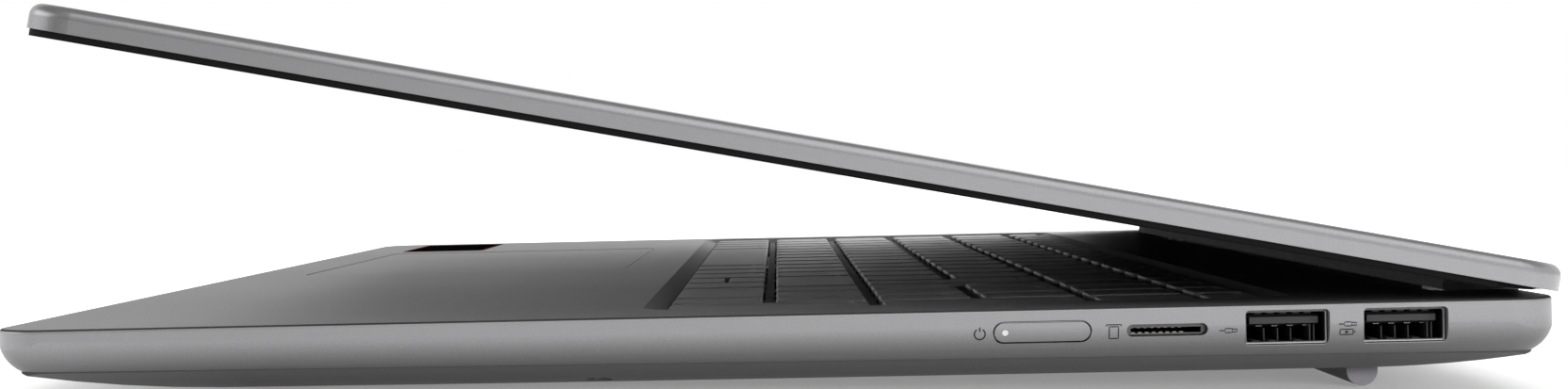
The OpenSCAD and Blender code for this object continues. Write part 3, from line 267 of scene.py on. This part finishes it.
# ---- Mesh helpers: every shape is drawn in millimetres in the deck's or the lid's frame ----
def make_object(name, bm, mats, matrix, body, smooth_deg=None):
    """Turns a drawn shape into an object in place, riding on a body."""
    bmesh.ops.transform(bm, matrix=Matrix.Scale(MM, 4) @ matrix, verts=bm.verts)
    bmesh.ops.recalc_face_normals(bm, faces=bm.faces)
    mesh = bpy.data.meshes.new(name)
    bm.to_mesh(mesh)
    bm.free()
    for mat in mats:
        mesh.materials.append(mat)
    if smooth_deg is not None:
        mesh.shade_smooth()
        mesh.set_sharp_from_angle(angle=math.radians(smooth_deg))
    obj = bpy.data.objects.new(name, mesh)
    bpy.context.scene.collection.objects.link(obj)
    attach(obj, body)
    return obj


def add_box(bm, low, high, mat=0):
    corners = [(x, y, z) for z in (low[2], high[2])
               for x, y in ((low[0], low[1]), (high[0], low[1]), (high[0], high[1]),
                            (low[0], high[1]))]
    v = [bm.verts.new(c) for c in corners]
    for ids in ((3, 2, 1, 0), (4, 5, 6, 7), (0, 1, 5, 4), (1, 2, 6, 5), (2, 3, 7, 6),
                (3, 0, 4, 7)):
        bm.faces.new([v[i] for i in ids]).material_index = mat


CORNER_STEPS = 6
LEAST_RADIUS = 0.05


def rounded_outline(corners, radii, grow=0.0):
    """Points round an axis-aligned outline given anticlockwise, its corners rounded."""
    count = len(corners)
    points = []
    for i, (x, y) in enumerate(corners):
        px, py = corners[i - 1]
        nx, ny = corners[(i + 1) % count]
        into = Vector((x - px, y - py)).normalized()
        out = Vector((nx - x, ny - y)).normalized()
        left = into.x * out.y - into.y * out.x
        corner = Vector((x, y)) + grow * (Vector((into.y, -into.x)) + Vector((out.y, -out.x)))
        r = max(LEAST_RADIUS, radii[i] + (grow if left > 0 else -grow))
        centre = corner - into * r + out * r
        start = math.atan2((-out).y, (-out).x)
        for k in range(CORNER_STEPS + 1):
            a = start + math.copysign(math.pi / 2 * k / CORNER_STEPS, left)
            points.append(centre + r * Vector((math.cos(a), math.sin(a))))
    return points


def join_rings(bm, rings, mat=0):
    """Joins rings of equal length with quads, from the bottom to the top."""
    for low, high in zip(rings, rings[1:]):
        for i in range(len(low)):
            j = (i + 1) % len(low)
            bm.faces.new((low[i], low[j], high[j], high[i])).material_index = mat


def loft(bm, rings):
    """A closed shape through rings of equal length, from the bottom to the top."""
    made = [[bm.verts.new(p) for p in ring] for ring in rings]
    join_rings(bm, made)
    bm.faces.new(list(reversed(made[0])))
    bm.faces.new(made[-1])


# ---- Key caps: heights are above the deck ----
KEY_TOP = -0.3
KEY_BOTTOM = -2.05
# The cap's side, from the bottom up: how far out from the key's outline, and how high
CAP_SECTION = [(0.0, KEY_BOTTOM), (0.0, KEY_TOP - 0.42), (-0.05, KEY_TOP - 0.24),
               (-0.16, KEY_TOP - 0.1), (-0.32, KEY_TOP - 0.02), (-0.5, KEY_TOP),
               (-1.6, KEY_TOP - 0.05)]
# Corner radii, anticlockwise from the front left
KEY_RADII = [2.6, 2.6, 1.0, 1.0]
ARROW_RADII = [1.0, 1.0, 1.0, 1.0]
ENTER_RADII = [2.6, 2.6, 1.0, 1.0, 2.0, 0.8]
SMALL_ARROWS = ("left_arrow_key", "up_arrow_key", "down_arrow_key")
KEY_SMOOTH_DEG = 50
WELD_DIGITS = 3
ENTER_LOWER_BAND = 5  # the enter key's points this near its front edge belong to its narrow part
ENTER_STEP_LEAST = 1


def separate_boxes(name):
    """The box of each separate piece of a CAD node, in the deck's frame: (x0, y0, x1, y1)."""
    points = deck_points(name)
    first_at = {}
    group = list(range(len(points)))

    def find(i):
        while group[i] != i:
            group[i] = group[group[i]]
            i = group[i]
        return i

    for i, p in enumerate(points):
        place = tuple(round(c, WELD_DIGITS) for c in p)
        group[find(i)] = find(first_at.setdefault(place, i))
    for poly in frame["nodes"][name].data.polygons:
        first, *others = poly.vertices
        for other in others:
            group[find(other)] = find(first)
    boxes = {}
    for i, p in enumerate(points):
        b = boxes.get(find(i), (math.inf, math.inf, -math.inf, -math.inf))
        boxes[find(i)] = (min(b[0], p.x), min(b[1], p.y), max(b[2], p.x), max(b[3], p.y))
    return sorted(boxes.values(), key=lambda b: (-round(b[3]), b[0]))


def cap(bm, corners, radii):
    loft(bm, [[(p.x, p.y, z) for p in rounded_outline(corners, radii, grow)]
              for grow, z in CAP_SECTION])


def enter_corners():
    """The enter key's outline, anticlockwise from its lower left corner."""
    points = deck_points("enter_key")
    x0, x1 = min(p.x for p in points), max(p.x for p in points)
    y0, y1 = min(p.y for p in points), max(p.y for p in points)
    low_x = min(p.x for p in points if p.y < y0 + ENTER_LOWER_BAND)
    step_y = min(p.y for p in points if p.x < low_x - ENTER_STEP_LEAST)
    return [(low_x, y0), (x1, y0), (x1, y1), (x0, y1), (x0, step_y), (low_x, step_y)]


TEXT_SIZE = 3.6
SMALL_TEXT = 2.1
TEXT_WEIGHT = 0.035
CAPITAL = 0.72  # a capital's height, in text sizes
LEGEND_LEFT = 1.7
LEGEND_DROP = 1.9
SHORT_DROP = 1.4
SHORT_KEY = 10  # keys less deep than this carry small text
INK_LIFT = 0.012


def glyphs(bm, text, x, y, size):
    """Adds flat generic letters on a key, their lower left corner at (x, y)."""
    curve = bpy.data.curves.new("glyph", "FONT")
    curve.body = text
    curve.size = size
    curve.offset = TEXT_WEIGHT
    curve.resolution_u = 2
    obj = bpy.data.objects.new("glyph", curve)
    bpy.context.scene.collection.objects.link(obj)
    bpy.context.view_layer.update()
    mesh = bpy.data.meshes.new_from_object(
        obj.evaluated_get(bpy.context.evaluated_depsgraph_get()))
    mesh.transform(Matrix.Translation((x, y, KEY_TOP + INK_LIFT)))
    bm.from_mesh(mesh)
    bpy.data.objects.remove(obj)
    bpy.data.curves.remove(curve)
    bpy.data.meshes.remove(mesh)


# The legends of each node's keys, row by row from the rear and from left to right
LEGENDS = {
    "upper_letter_keys": list("QWERTYUIOP") + ["[", "]"],
    "home_letter_keys": list("ASDFGHJKL") + [";", "'", "#"],
    "lower_letter_keys": ["\\"] + list("ZXCVBNM") + [",", ".", "/"],
    "number_keys": list("`1234567890-="),
    "pad_keys": ["num", "/", "*", "-", "7", "8", "9", "4", "5", "6", "1", "2", "3", "."],
    "function_keys": ["F%d" % i for i in range(1, 13)] + ["prt", "ins", "home", "end", "pg up",
                                                         "pg dn"],
    "modifier_keys": ["fn", "menu", "alt", "alt", "ctrl"],
    "escape_key": ["esc"], "delete_key": ["del"], "backspace_key": ["back"],
    "tab_key": ["tab"], "caps_lock_key": ["caps"], "enter_key": ["enter"],
    "left_shift_key": ["shift"], "right_shift_key": ["shift"], "left_ctrl_key": ["ctrl"],
    "left_arrow_key": ["<"], "right_arrow_key": [">"], "up_arrow_key": ["^"],
    "down_arrow_key": ["v"], "pad_zero_key": ["0"], "pad_enter_key": ["enter"],
    "pad_plus_key": ["+"], "space_bar": [],
}


def build_keys():
    for name, legends in LEGENDS.items():
        bm = bmesh.new()
        if name == "enter_key":
            corners = enter_corners()
            cap(bm, corners, ENTER_RADII)
            boxes = [(*corners[4], *corners[2])]
        else:
            boxes = separate_boxes(name)
            for x0, y0, x1, y1 in boxes:
                cap(bm, [(x0, y0), (x1, y0), (x1, y1), (x0, y1)],
                    ARROW_RADII if name in SMALL_ARROWS else KEY_RADII)
        keys = make_object("caps." + name, bm, [KEY], DECK, name, smooth_deg=KEY_SMOOTH_DEG)
        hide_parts(name)
        if not legends:
            continue
        ink = bmesh.new()
        for (x0, y0, x1, y1), text in zip(boxes, legends):
            short = y1 - y0 < SHORT_KEY
            size = SMALL_TEXT if len(text) > 1 or short else TEXT_SIZE
            drop = SHORT_DROP if short else LEGEND_DROP
            glyphs(ink, text, x0 + LEGEND_LEFT, y1 - drop - size * CAPITAL, size)
        marks = make_object("legends." + name, ink, [LEGEND], DECK, name)


# ---- Painted parts of CAD nodes: spans of height and slope, and limits of place ----
def between(value, span):
    return span[0] < value < span[1]


def paint(node, mat, test):
    """Gives a material to the faces of a CAD node whose middle and normal pass the test."""
    mesh = frame["nodes"][node].data
    mesh.materials.append(mat)
    slot = len(mesh.materials) - 1
    spin = DECK_INVERSE.to_3x3()
    for poly in mesh.polygons:
        if test(DECK_INVERSE @ (poly.center / MM), spin @ poly.normal):
            poly.material_index = slot


FLAT = -0.05  # the deck's flat lies above this
FLAT_SLOPE = 0.9
EDGE_Z, EDGE_SLOPE = (-0.27, 0.01), (0.25, 0.985)
WELL_Z, WELL_SLOPE = (-1.25, -0.01), (0.85, 0.97)
WELL_HALF, WELL_Y = 172, (-26, 90)
OUTER_X, OUTER_Y = 170, 117  # the rounded edge and the seam lie outside these
SEAM_SLOPE = 0.3
FACING = 0.7  # faces that look out of the right wall
SIDEWAYS = 0.5  # faces that don't
READER_FRONT = 172
BUTTON_X, BUTTON_Y, BUTTON_Z = 175, (30, 54), (-6.5, -1.2)


def near_outline(p):
    return abs(p.x) > OUTER_X or abs(p.y) > OUTER_Y


def paint_edges():
    """The deck's flat, rounded edge and well and the seam below, painted darker as painted shade;
    the card slot's rim; and the power button's gap, painted black as painted shade.
    """
    paint("top_case", DECK_SHADE_METAL, lambda p, n: p.z > FLAT and n.z > FLAT_SLOPE)
    paint("top_case", EDGE_SHADE, lambda p, n: between(p.z, EDGE_Z) and between(n.z, EDGE_SLOPE)
          and near_outline(p))
    paint("top_case", WELL_SHADE, lambda p, n: between(p.z, WELL_Z) and between(n.z, WELL_SLOPE)
          and abs(p.x) < WELL_HALF and between(p.y, WELL_Y))
    paint("bottom_cover", SEAM, lambda p, n: abs(n.z) < SEAM_SLOPE and near_outline(p))
    paint("card_reader", RIM, lambda p, n: n.x > FACING and p.x > READER_FRONT)
    # painted shade: the power button's sides and its slot's walls are black, so the gap round the
    # button reads dark
    paint("power_button", BLACK, lambda p, n: abs(n.x) < SIDEWAYS)
    paint("top_case", BLACK, lambda p, n: abs(n.x) < SIDEWAYS and p.x > BUTTON_X
          and between(p.y, BUTTON_Y) and between(p.z, BUTTON_Z))


# ---- Ports on the right wall: a USB-A port's boxes are drawn from the middle of its mouth ----
PORT_Z = -3.8
USB_A = {"usb_a_front_port": 81.05, "usb_a_rear_port": 99.85}
USB_MOUTH = 176.4
SHELL_FRONT = USB_MOUTH - 0.2
SHELL_REAR = 163
SHELL_HALF_Y, SHELL_HALF_Z = 6.45, 2.55
TONGUE_FRONT = USB_MOUTH - 1.4
TONGUE_HALF, TONGUE_Z = 5.6, (0.4, 1.55)
USB_FINISHES = [GOLD, BLACK, SPRING, EDGE_HIGHLIGHT]
# The middles along y of a set of like boxes, then for each box its half width, its x span,
# its z span and its finish
USB_BOXES = [
    # contacts under the tongue, and the notches at their ends
    ((-3.75, -1.25, 1.25, 3.75), [(0.45, (-11.5, -2.3), (-0.02, 0.12), 0),
                                  (0.5, (-2.5, -1.3), (0.12, 0.5), 1)]),
    # springs in the roof
    ((-4.16, -2.17, -0.17, 1.9, 3.74), [(0.55, (-7.5, -0.9), (2.05, 2.34), 2)]),
    # ribs behind the springs in the floor, and those springs
    ((-3.1, -0.9, 1.2), [(0.09, (-11.0, -1.6), (-2.34, -0.3), 2)]),
    ((-4.6, -1.9, 2.2), [(0.6, (-6.0, -0.8), (-2.34, -2.2), 2)]),
    # ribs at the rear end
    ((4.1, 4.75), [(0.1, (-8.0, -1.0), (-2.34, 0.2), 2)]),
    # back wall
    ((0.0,), [(6.1, (-13.0, -12.6), (-2.34, 2.34), 1)]),
    # painted highlights: pale strips on the shell's lower and rear edges, standing for light
    # caught there
    ((0.05,), [(6.45, (-0.05, 0.04), (-2.64, -2.5), 3)]),
    ((6.44,), [(0.06, (-0.05, 0.04), (-2.5, 2.4), 3)]),
]
CARD_CONTACTS = 8
CARD_FIRST, CARD_PITCH = 56.75, 1.1
# A contact's lower and upper box: x span, y span from its middle, z span from the ports' middle
CARD_BOXES = [((171.0, 176.3), (-0.3, 0.3), (-0.56, -0.4)),
              ((172.6, 175.4), (-0.3, 0.1), (0.2, 0.36))]


def build_ports():
    for node, y in USB_A.items():
        paint(node, BLACK, lambda p, n: between(p.x, (SHELL_REAR, SHELL_FRONT))
              and abs(p.y - y) < SHELL_HALF_Y and abs(p.z - PORT_Z) < SHELL_HALF_Z)
        paint(node, RIM, lambda p, n: n.x > FACING and p.x > SHELL_FRONT)
        paint(node, TONGUE, lambda p, n: p.x > TONGUE_FRONT and n.x > SIDEWAYS
              and abs(p.y - y) < TONGUE_HALF and between(p.z - PORT_Z, TONGUE_Z))
        bm = bmesh.new()
        for middles, boxes in USB_BOXES:
            for dy in middles:
                for half, x, z, finish in boxes:
                    add_box(bm, (USB_MOUTH + x[0], y + dy - half, PORT_Z + z[0]),
                            (USB_MOUTH + x[1], y + dy + half, PORT_Z + z[1]), finish)
        contacts = make_object("contacts." + node, bm, USB_FINISHES, DECK, "base")

    bm = bmesh.new()
    for i in range(CARD_CONTACTS):
        y = CARD_FIRST + i * CARD_PITCH
        for x, dy, dz in CARD_BOXES:
            add_box(bm, (x[0], y + dy[0], PORT_Z + dz[0]), (x[1], y + dy[1], PORT_Z + dz[1]))
    contacts = make_object("card_contacts", bm, [GOLD], DECK, "base")


# ---- Marks on the right wall, with a painted shade line round the power button and painted highlights under the USB ports ----
BOLD, THIN, HAIR = 0.22, 0.18, 0.1  # widths of the ribbons
RIBBON_STEP = 0.35
SAME_POINT = 1e-6
RAY_FROM = 200
ARC_STEPS, END_STEPS = 28, 16


def wall_tree():
    polygons = frame["nodes"]["top_case"].data.polygons
    return BVHTree.FromPolygons(deck_points("top_case"), [tuple(p.vertices) for p in polygons])


def strokes(bm, tree, lines, width):
    """Flat ribbons along (y, z) lines, laid on the right wall."""
    def on_wall(p):
        hit = tree.ray_cast(Vector((RAY_FROM, p.x, p.y)), Vector((-1, 0, 0)))
        return bm.verts.new((hit[0].x + INK_LIFT, p.x, p.y))

    for line in lines:
        points = [Vector(p) for p in line]
        dense = [points[0]]
        for a, b in zip(points, points[1:]):
            steps = max(1, int((b - a).length / RIBBON_STEP))
            dense += [a.lerp(b, (k + 1) / steps) for k in range(steps)]
        closed = (dense[0] - dense[-1]).length < SAME_POINT
        sides = []
        for i, p in enumerate(dense):
            before = dense[i - 1] if i else (dense[-2] if closed else p)
            after = dense[i + 1] if i + 1 < len(dense) else (dense[1] if closed else p)
            d = (after - before).normalized()
            n = Vector((-d.y, d.x)) * width / 2
            sides.append((on_wall(p + n), on_wall(p - n)))
        for (a, b), (c, d) in zip(sides, sides[1:]):
            bm.faces.new((a, b, d, c))


def arc(y, z, r, start, end, steps=ARC_STEPS):
    turns = [math.radians(start + (end - start) * k / steps) for k in range(steps + 1)]
    return [(y + r * math.cos(a), z + r * math.sin(a)) for a in turns]


def rectangle(y0, z0, y1, z1):
    return [(y0, z0), (y1, z0), (y1, z1), (y0, z1), (y0, z0)]


def stadium(y, z, length, height, grow):
    """A closed outline with round ends, set off outwards by grow."""
    r = height / 2 + grow
    half = (length - height) / 2
    return (arc(y + half, z, r, -90, 90, END_STEPS) + arc(y - half, z, r, 90, 270, END_STEPS)
            + [(y + half, z - r)])


POWER_MARK = [arc(32.2, -3.85, 0.86, 122, 418), [(32.2, -3.5), (32.2, -2.75)]]
CARD_MARK = [[(52.3, -3.05), (52.3, -2.78), (54.65, -2.78), (54.65, -3.05)],
             rectangle(52.75, -5.0, 54.2, -3.1)]
PLUG_AT = ((71.7, -4.1), (90.65, -3.45))
BATTERY_MARK = [rectangle(89.4, -5.15, 91.45, -4.3), [(91.75, -4.9), (91.75, -4.55)],
                [(90.1, -4.73), (90.75, -4.73)], [(90.42, -5.0), (90.42, -4.45)]]
# painted shade: a dark hairline just outside the power button's slot, standing for the shade in
# its gap
BUTTON_GAP_SHADE = [stadium(42.15, -3.72, 15.2, 3.05, 0.215)]
LOWER_EDGE_HALF, LOWER_EDGE_DROP = 6.3, 2.87


def plug_mark(y, z):
    return [rectangle(y - 0.55, z - 0.32, y + 0.55, z + 0.32),
            rectangle(y + 0.55, z - 0.22, y + 1.3, z + 0.22),
            [(y - 0.55, z), (y - 1.5, z)]]


def build_marks():
    tree = wall_tree()
    bm = bmesh.new()
    strokes(bm, tree, POWER_MARK, BOLD)
    strokes(bm, tree, CARD_MARK, THIN)
    for y, z in PLUG_AT:
        strokes(bm, tree, plug_mark(y, z), THIN)
    strokes(bm, tree, BATTERY_MARK, THIN)
    strokes(bm, tree, BUTTON_GAP_SHADE, HAIR)
    marks = make_object("side_marks", bm, [MARK], DECK, "base")

    # painted highlights: pale hairlines under the USB ports' mouths, standing for light on their
    # lower edges
    bm = bmesh.new()
    z = PORT_Z - LOWER_EDGE_DROP
    for y in USB_A.values():
        strokes(bm, tree, [[(y - LOWER_EDGE_HALF, z), (y + LOWER_EDGE_HALF, z)]], HAIR)
    painted_highlights = make_object("slot_edge_highlights", bm, [EDGE_HIGHLIGHT], DECK, "base")


# ---- The sticker on the palm rest, left bare ----
STICKER_CORNERS = [(-169.0, -111.2), (-119.0, -111.2), (-119.0, -87.3), (-169.0, -87.3)]
STICKER_RADII = [2.0] * 4
STICKER_LOW, STICKER_HIGH = 0.003, 0.06
STICKER_BORDER = 0.9


def build_sticker():
    bm = bmesh.new()
    outer = rounded_outline(STICKER_CORNERS, STICKER_RADII)
    inner = rounded_outline(STICKER_CORNERS, STICKER_RADII, -STICKER_BORDER)
    rings = [[bm.verts.new((p.x, p.y, z)) for p in ring]
             for ring, z in ((outer, STICKER_LOW), (outer, STICKER_HIGH), (inner, STICKER_HIGH))]
    join_rings(bm, rings, mat=1)
    bm.faces.new(rings[2])
    sticker = make_object("palm_sticker", bm, [STICKER, STICKER_EDGE], DECK, "base")


# ---- Black pieces under the lid's rear corners, drawn as the seal's thinning ends: a dark piece standing for the shade there ----
SEAL_SHADE_REAR = 122.2
# Across the dark piece: (y, z) in the lid's frame
SEAL_SHADE_SECTION = [(113.4, 1.26), (113.4, 0.42), (117.0, 0.55), (119.0, 0.78), (120.6, 1.02),
            (SEAL_SHADE_REAR, 1.22)]
# Towards the corner: x, and how far the rear edge moves back
SEAL_SHADE_RINGS = ((154.2, 0.0), (170.0, 0.0), (174.5, -0.4), (177.3, -2.6))


def build_seal_shade():
    bm = bmesh.new()
    for side in (-1, 1):
        loft(bm, [[(side * x, min(y, SEAL_SHADE_REAR + back), z) for y, z in SEAL_SHADE_SECTION]
                  for x, back in SEAL_SHADE_RINGS])
    ends = make_object("seal_ends_painted_shade", bm, [SEAL], LID, "lid")


# ---- Camera: a lens fitted to the photograph, in the deck's frame ----
PHOTO_W = 1665
SENSOR = 36.0
CAMERA_AT = Vector((517.538, 0.699, 23.889))
FOCAL_PX = 2278.24
YAW, PITCH, ROLL = 0.0028, -0.01447, 0.02133
CLIP_START = 0.01


def place_camera():
    forward, right, up = Vector((-1, 0, 0)), Vector((0, 1, 0)), Vector((0, 0, 1))
    r = Matrix.Rotation(-YAW, 3, up)
    forward, right = r @ forward, r @ right
    r = Matrix.Rotation(PITCH, 3, right)
    forward, up = r @ forward, r @ up
    r = Matrix.Rotation(ROLL, 3, forward)
    right, up = r @ right, r @ up
    axes = Matrix((right, up, -forward)).transposed().to_4x4()
    data = bpy.data.cameras.new("camera")
    data.sensor_width = SENSOR
    data.lens = SENSOR * FOCAL_PX / PHOTO_W
    data.clip_start = CLIP_START
    camera = bpy.data.objects.new("camera", data)
    placed = DECK @ Matrix.Translation(CAMERA_AT) @ axes
    placed.translation = placed.translation * MM
    camera.matrix_world = placed
    bpy.context.scene.collection.objects.link(camera)
    bpy.context.scene.camera = camera


# ---- Stage: world, floor and lamps ----
AMBIENT = 0.3  # the world's strength for light on the object
# What the camera, mirrors and glass see instead: a white backdrop under a dark ceiling,
# by the height of the direction, and a dark corner, by the direction's part along it
BACKDROP_TOP = (0.35, 1.0)
CEILING = (0.75, 0.07)
DARK_CORNER = (0.8, -0.6, 0.0)
CORNER_START = (0.66, 1.0)
CORNER_MIDDLE = (1.0, 0.0)
FLOOR_AT = (0, 0.005, -0.0002)
FLOOR_HALF = 6.0
FLOOR_ROUGHNESS = 0.95
FLOOR_BOUNCE = 0.22  # the floor's colour for light on the object
FLOOR_SEEN = 0.73  # its colour for the camera, mirrors and glass
# painted shade: the glow is weakest by the object, so the floor there stays darker than the far
# floor
FLOOR_GLOW = 0.25  # its glow for them by the object, which grows to 1 away from it
GLOW_FROM = (("X", 0.178), ("Y", 0.092))
GLOW_REACH = 0.1
# Name, place, target, size, watts, and whether glossy surfaces mirror it
LAMPS = [
    ("overhead", (0.2, -0.1, 1.6), (0, 0, 0), (2.4, 2.4), 11.0, False),
    ("near_side", (0.75, 0.3, 0.95), (0.1, 0, 0.02), (1.4, 0.9), 6.8, True),
    ("low_side", (1.1, 0.6, 0.2), (0.1, 0, 0.02), (0.9, 0.25), 7.4, False),
    ("front", (0.2, -2.0, 0.9), (0, 0, 0.02), (2.0, 0.8), 9.0, True),
    ("far_side", (-2.0, 0.4, 1.1), (0, 0, 0.02), (1.0, 2.0), 8.0, True),
]


def rays_that_see(nodes):
    """1 for the camera, mirror and glass rays, which see the background; 0 for the rest."""
    path = nodes.add("ShaderNodeLightPath")
    mirror_or_glass = nodes.maths("MAXIMUM", path.outputs["Is Glossy Ray"],
                                  path.outputs["Is Transmission Ray"])
    return nodes.maths("MAXIMUM", path.outputs["Is Camera Ray"], mirror_or_glass)


def build_world():
    world = bpy.data.worlds.new("studio")
    bpy.context.scene.world = world
    world.use_nodes = True
    background = world.node_tree.nodes["Background"]
    background.inputs["Color"].default_value = WHITE
    nodes = Nodes(world.node_tree)
    direction = nodes.add("ShaderNodeTexCoord").outputs["Generated"]
    height = nodes.add("ShaderNodeSeparateXYZ", Vector=direction).outputs["Z"]
    backdrop = nodes.mapped(height, BACKDROP_TOP, CEILING)
    corner = nodes.mapped(nodes.along(direction, DARK_CORNER), CORNER_START, CORNER_MIDDLE)
    level = nodes.add("ShaderNodeMix", A=AMBIENT, B=nodes.maths("MULTIPLY", backdrop, corner),
                      Factor=rays_that_see(nodes))
    nodes.put(level.outputs["Result"], background.inputs["Strength"])


def build_floor():
    """A pale floor: it keeps the object's shadow, and a glow that grows away from the object
    whitens it around; the weaker glow by the object is painted shade.
    """
    bm = bmesh.new()
    bmesh.ops.create_grid(bm, x_segments=1, y_segments=1, size=FLOOR_HALF)
    mesh = bpy.data.meshes.new("floor")
    bm.to_mesh(mesh)
    bm.free()
    floor = bpy.data.objects.new("floor", mesh)
    floor.location = FLOOR_AT
    bpy.context.scene.collection.objects.link(floor)
    mat, nodes, shader = new_material("floor_paper")
    seeing = rays_that_see(nodes)
    tone = nodes.mapped(seeing, (0.0, FLOOR_BOUNCE), (1.0, FLOOR_SEEN), smooth=False)
    nodes.put(tone, shader.inputs["Base Color"])
    shader.inputs["Roughness"].default_value = FLOOR_ROUGHNESS
    shader.inputs["Specular IOR Level"].default_value = 0.0
    place = nodes.add("ShaderNodeTexCoord").outputs["Object"]
    apart = nodes.add("ShaderNodeSeparateXYZ", Vector=place)
    squares = []
    for axis, half in GLOW_FROM:
        past = nodes.maths("SUBTRACT", nodes.maths("ABSOLUTE", apart.outputs[axis]), half)
        squares.append(nodes.maths("POWER", nodes.maths("MAXIMUM", past, 0.0), 2.0))
    away = nodes.maths("SQRT", nodes.maths("ADD", *squares))
    level = nodes.mapped(away, (0.0, FLOOR_GLOW), (GLOW_REACH, 1.0), smooth=False)
    glow = nodes.add("ShaderNodeEmission", Color=WHITE,
                     Strength=nodes.maths("MULTIPLY", seeing, level))
    both = nodes.add("ShaderNodeAddShader")
    nodes.put(shader.outputs[0], both.inputs[0])
    nodes.put(glow.outputs[0], both.inputs[1])
    nodes.put(both.outputs[0], mat.node_tree.nodes["Material Output"].inputs["Surface"])
    mesh.materials.append(mat)


def place_lamps():
    for name, at, target, size, watts, mirrored in LAMPS:
        data = bpy.data.lights.new(name, "AREA")
        data.shape = "RECTANGLE"
        data.size, data.size_y = size
        data.energy = watts
        lamp = bpy.data.objects.new(name, data)
        lamp.location = at
        lamp.visible_glossy = mirrored
        towards = Vector(target) - Vector(at)
        lamp.rotation_euler = towards.to_track_quat("-Z", "Y").to_euler()
        bpy.context.scene.collection.objects.link(lamp)


dress_nodes()
paint_edges()
build_keys()
build_ports()
build_marks()
build_sticker()
build_seal_shade()
place_camera()
build_world()
build_floor()
place_lamps()
bpy.context.scene.view_settings.view_transform = "Standard"
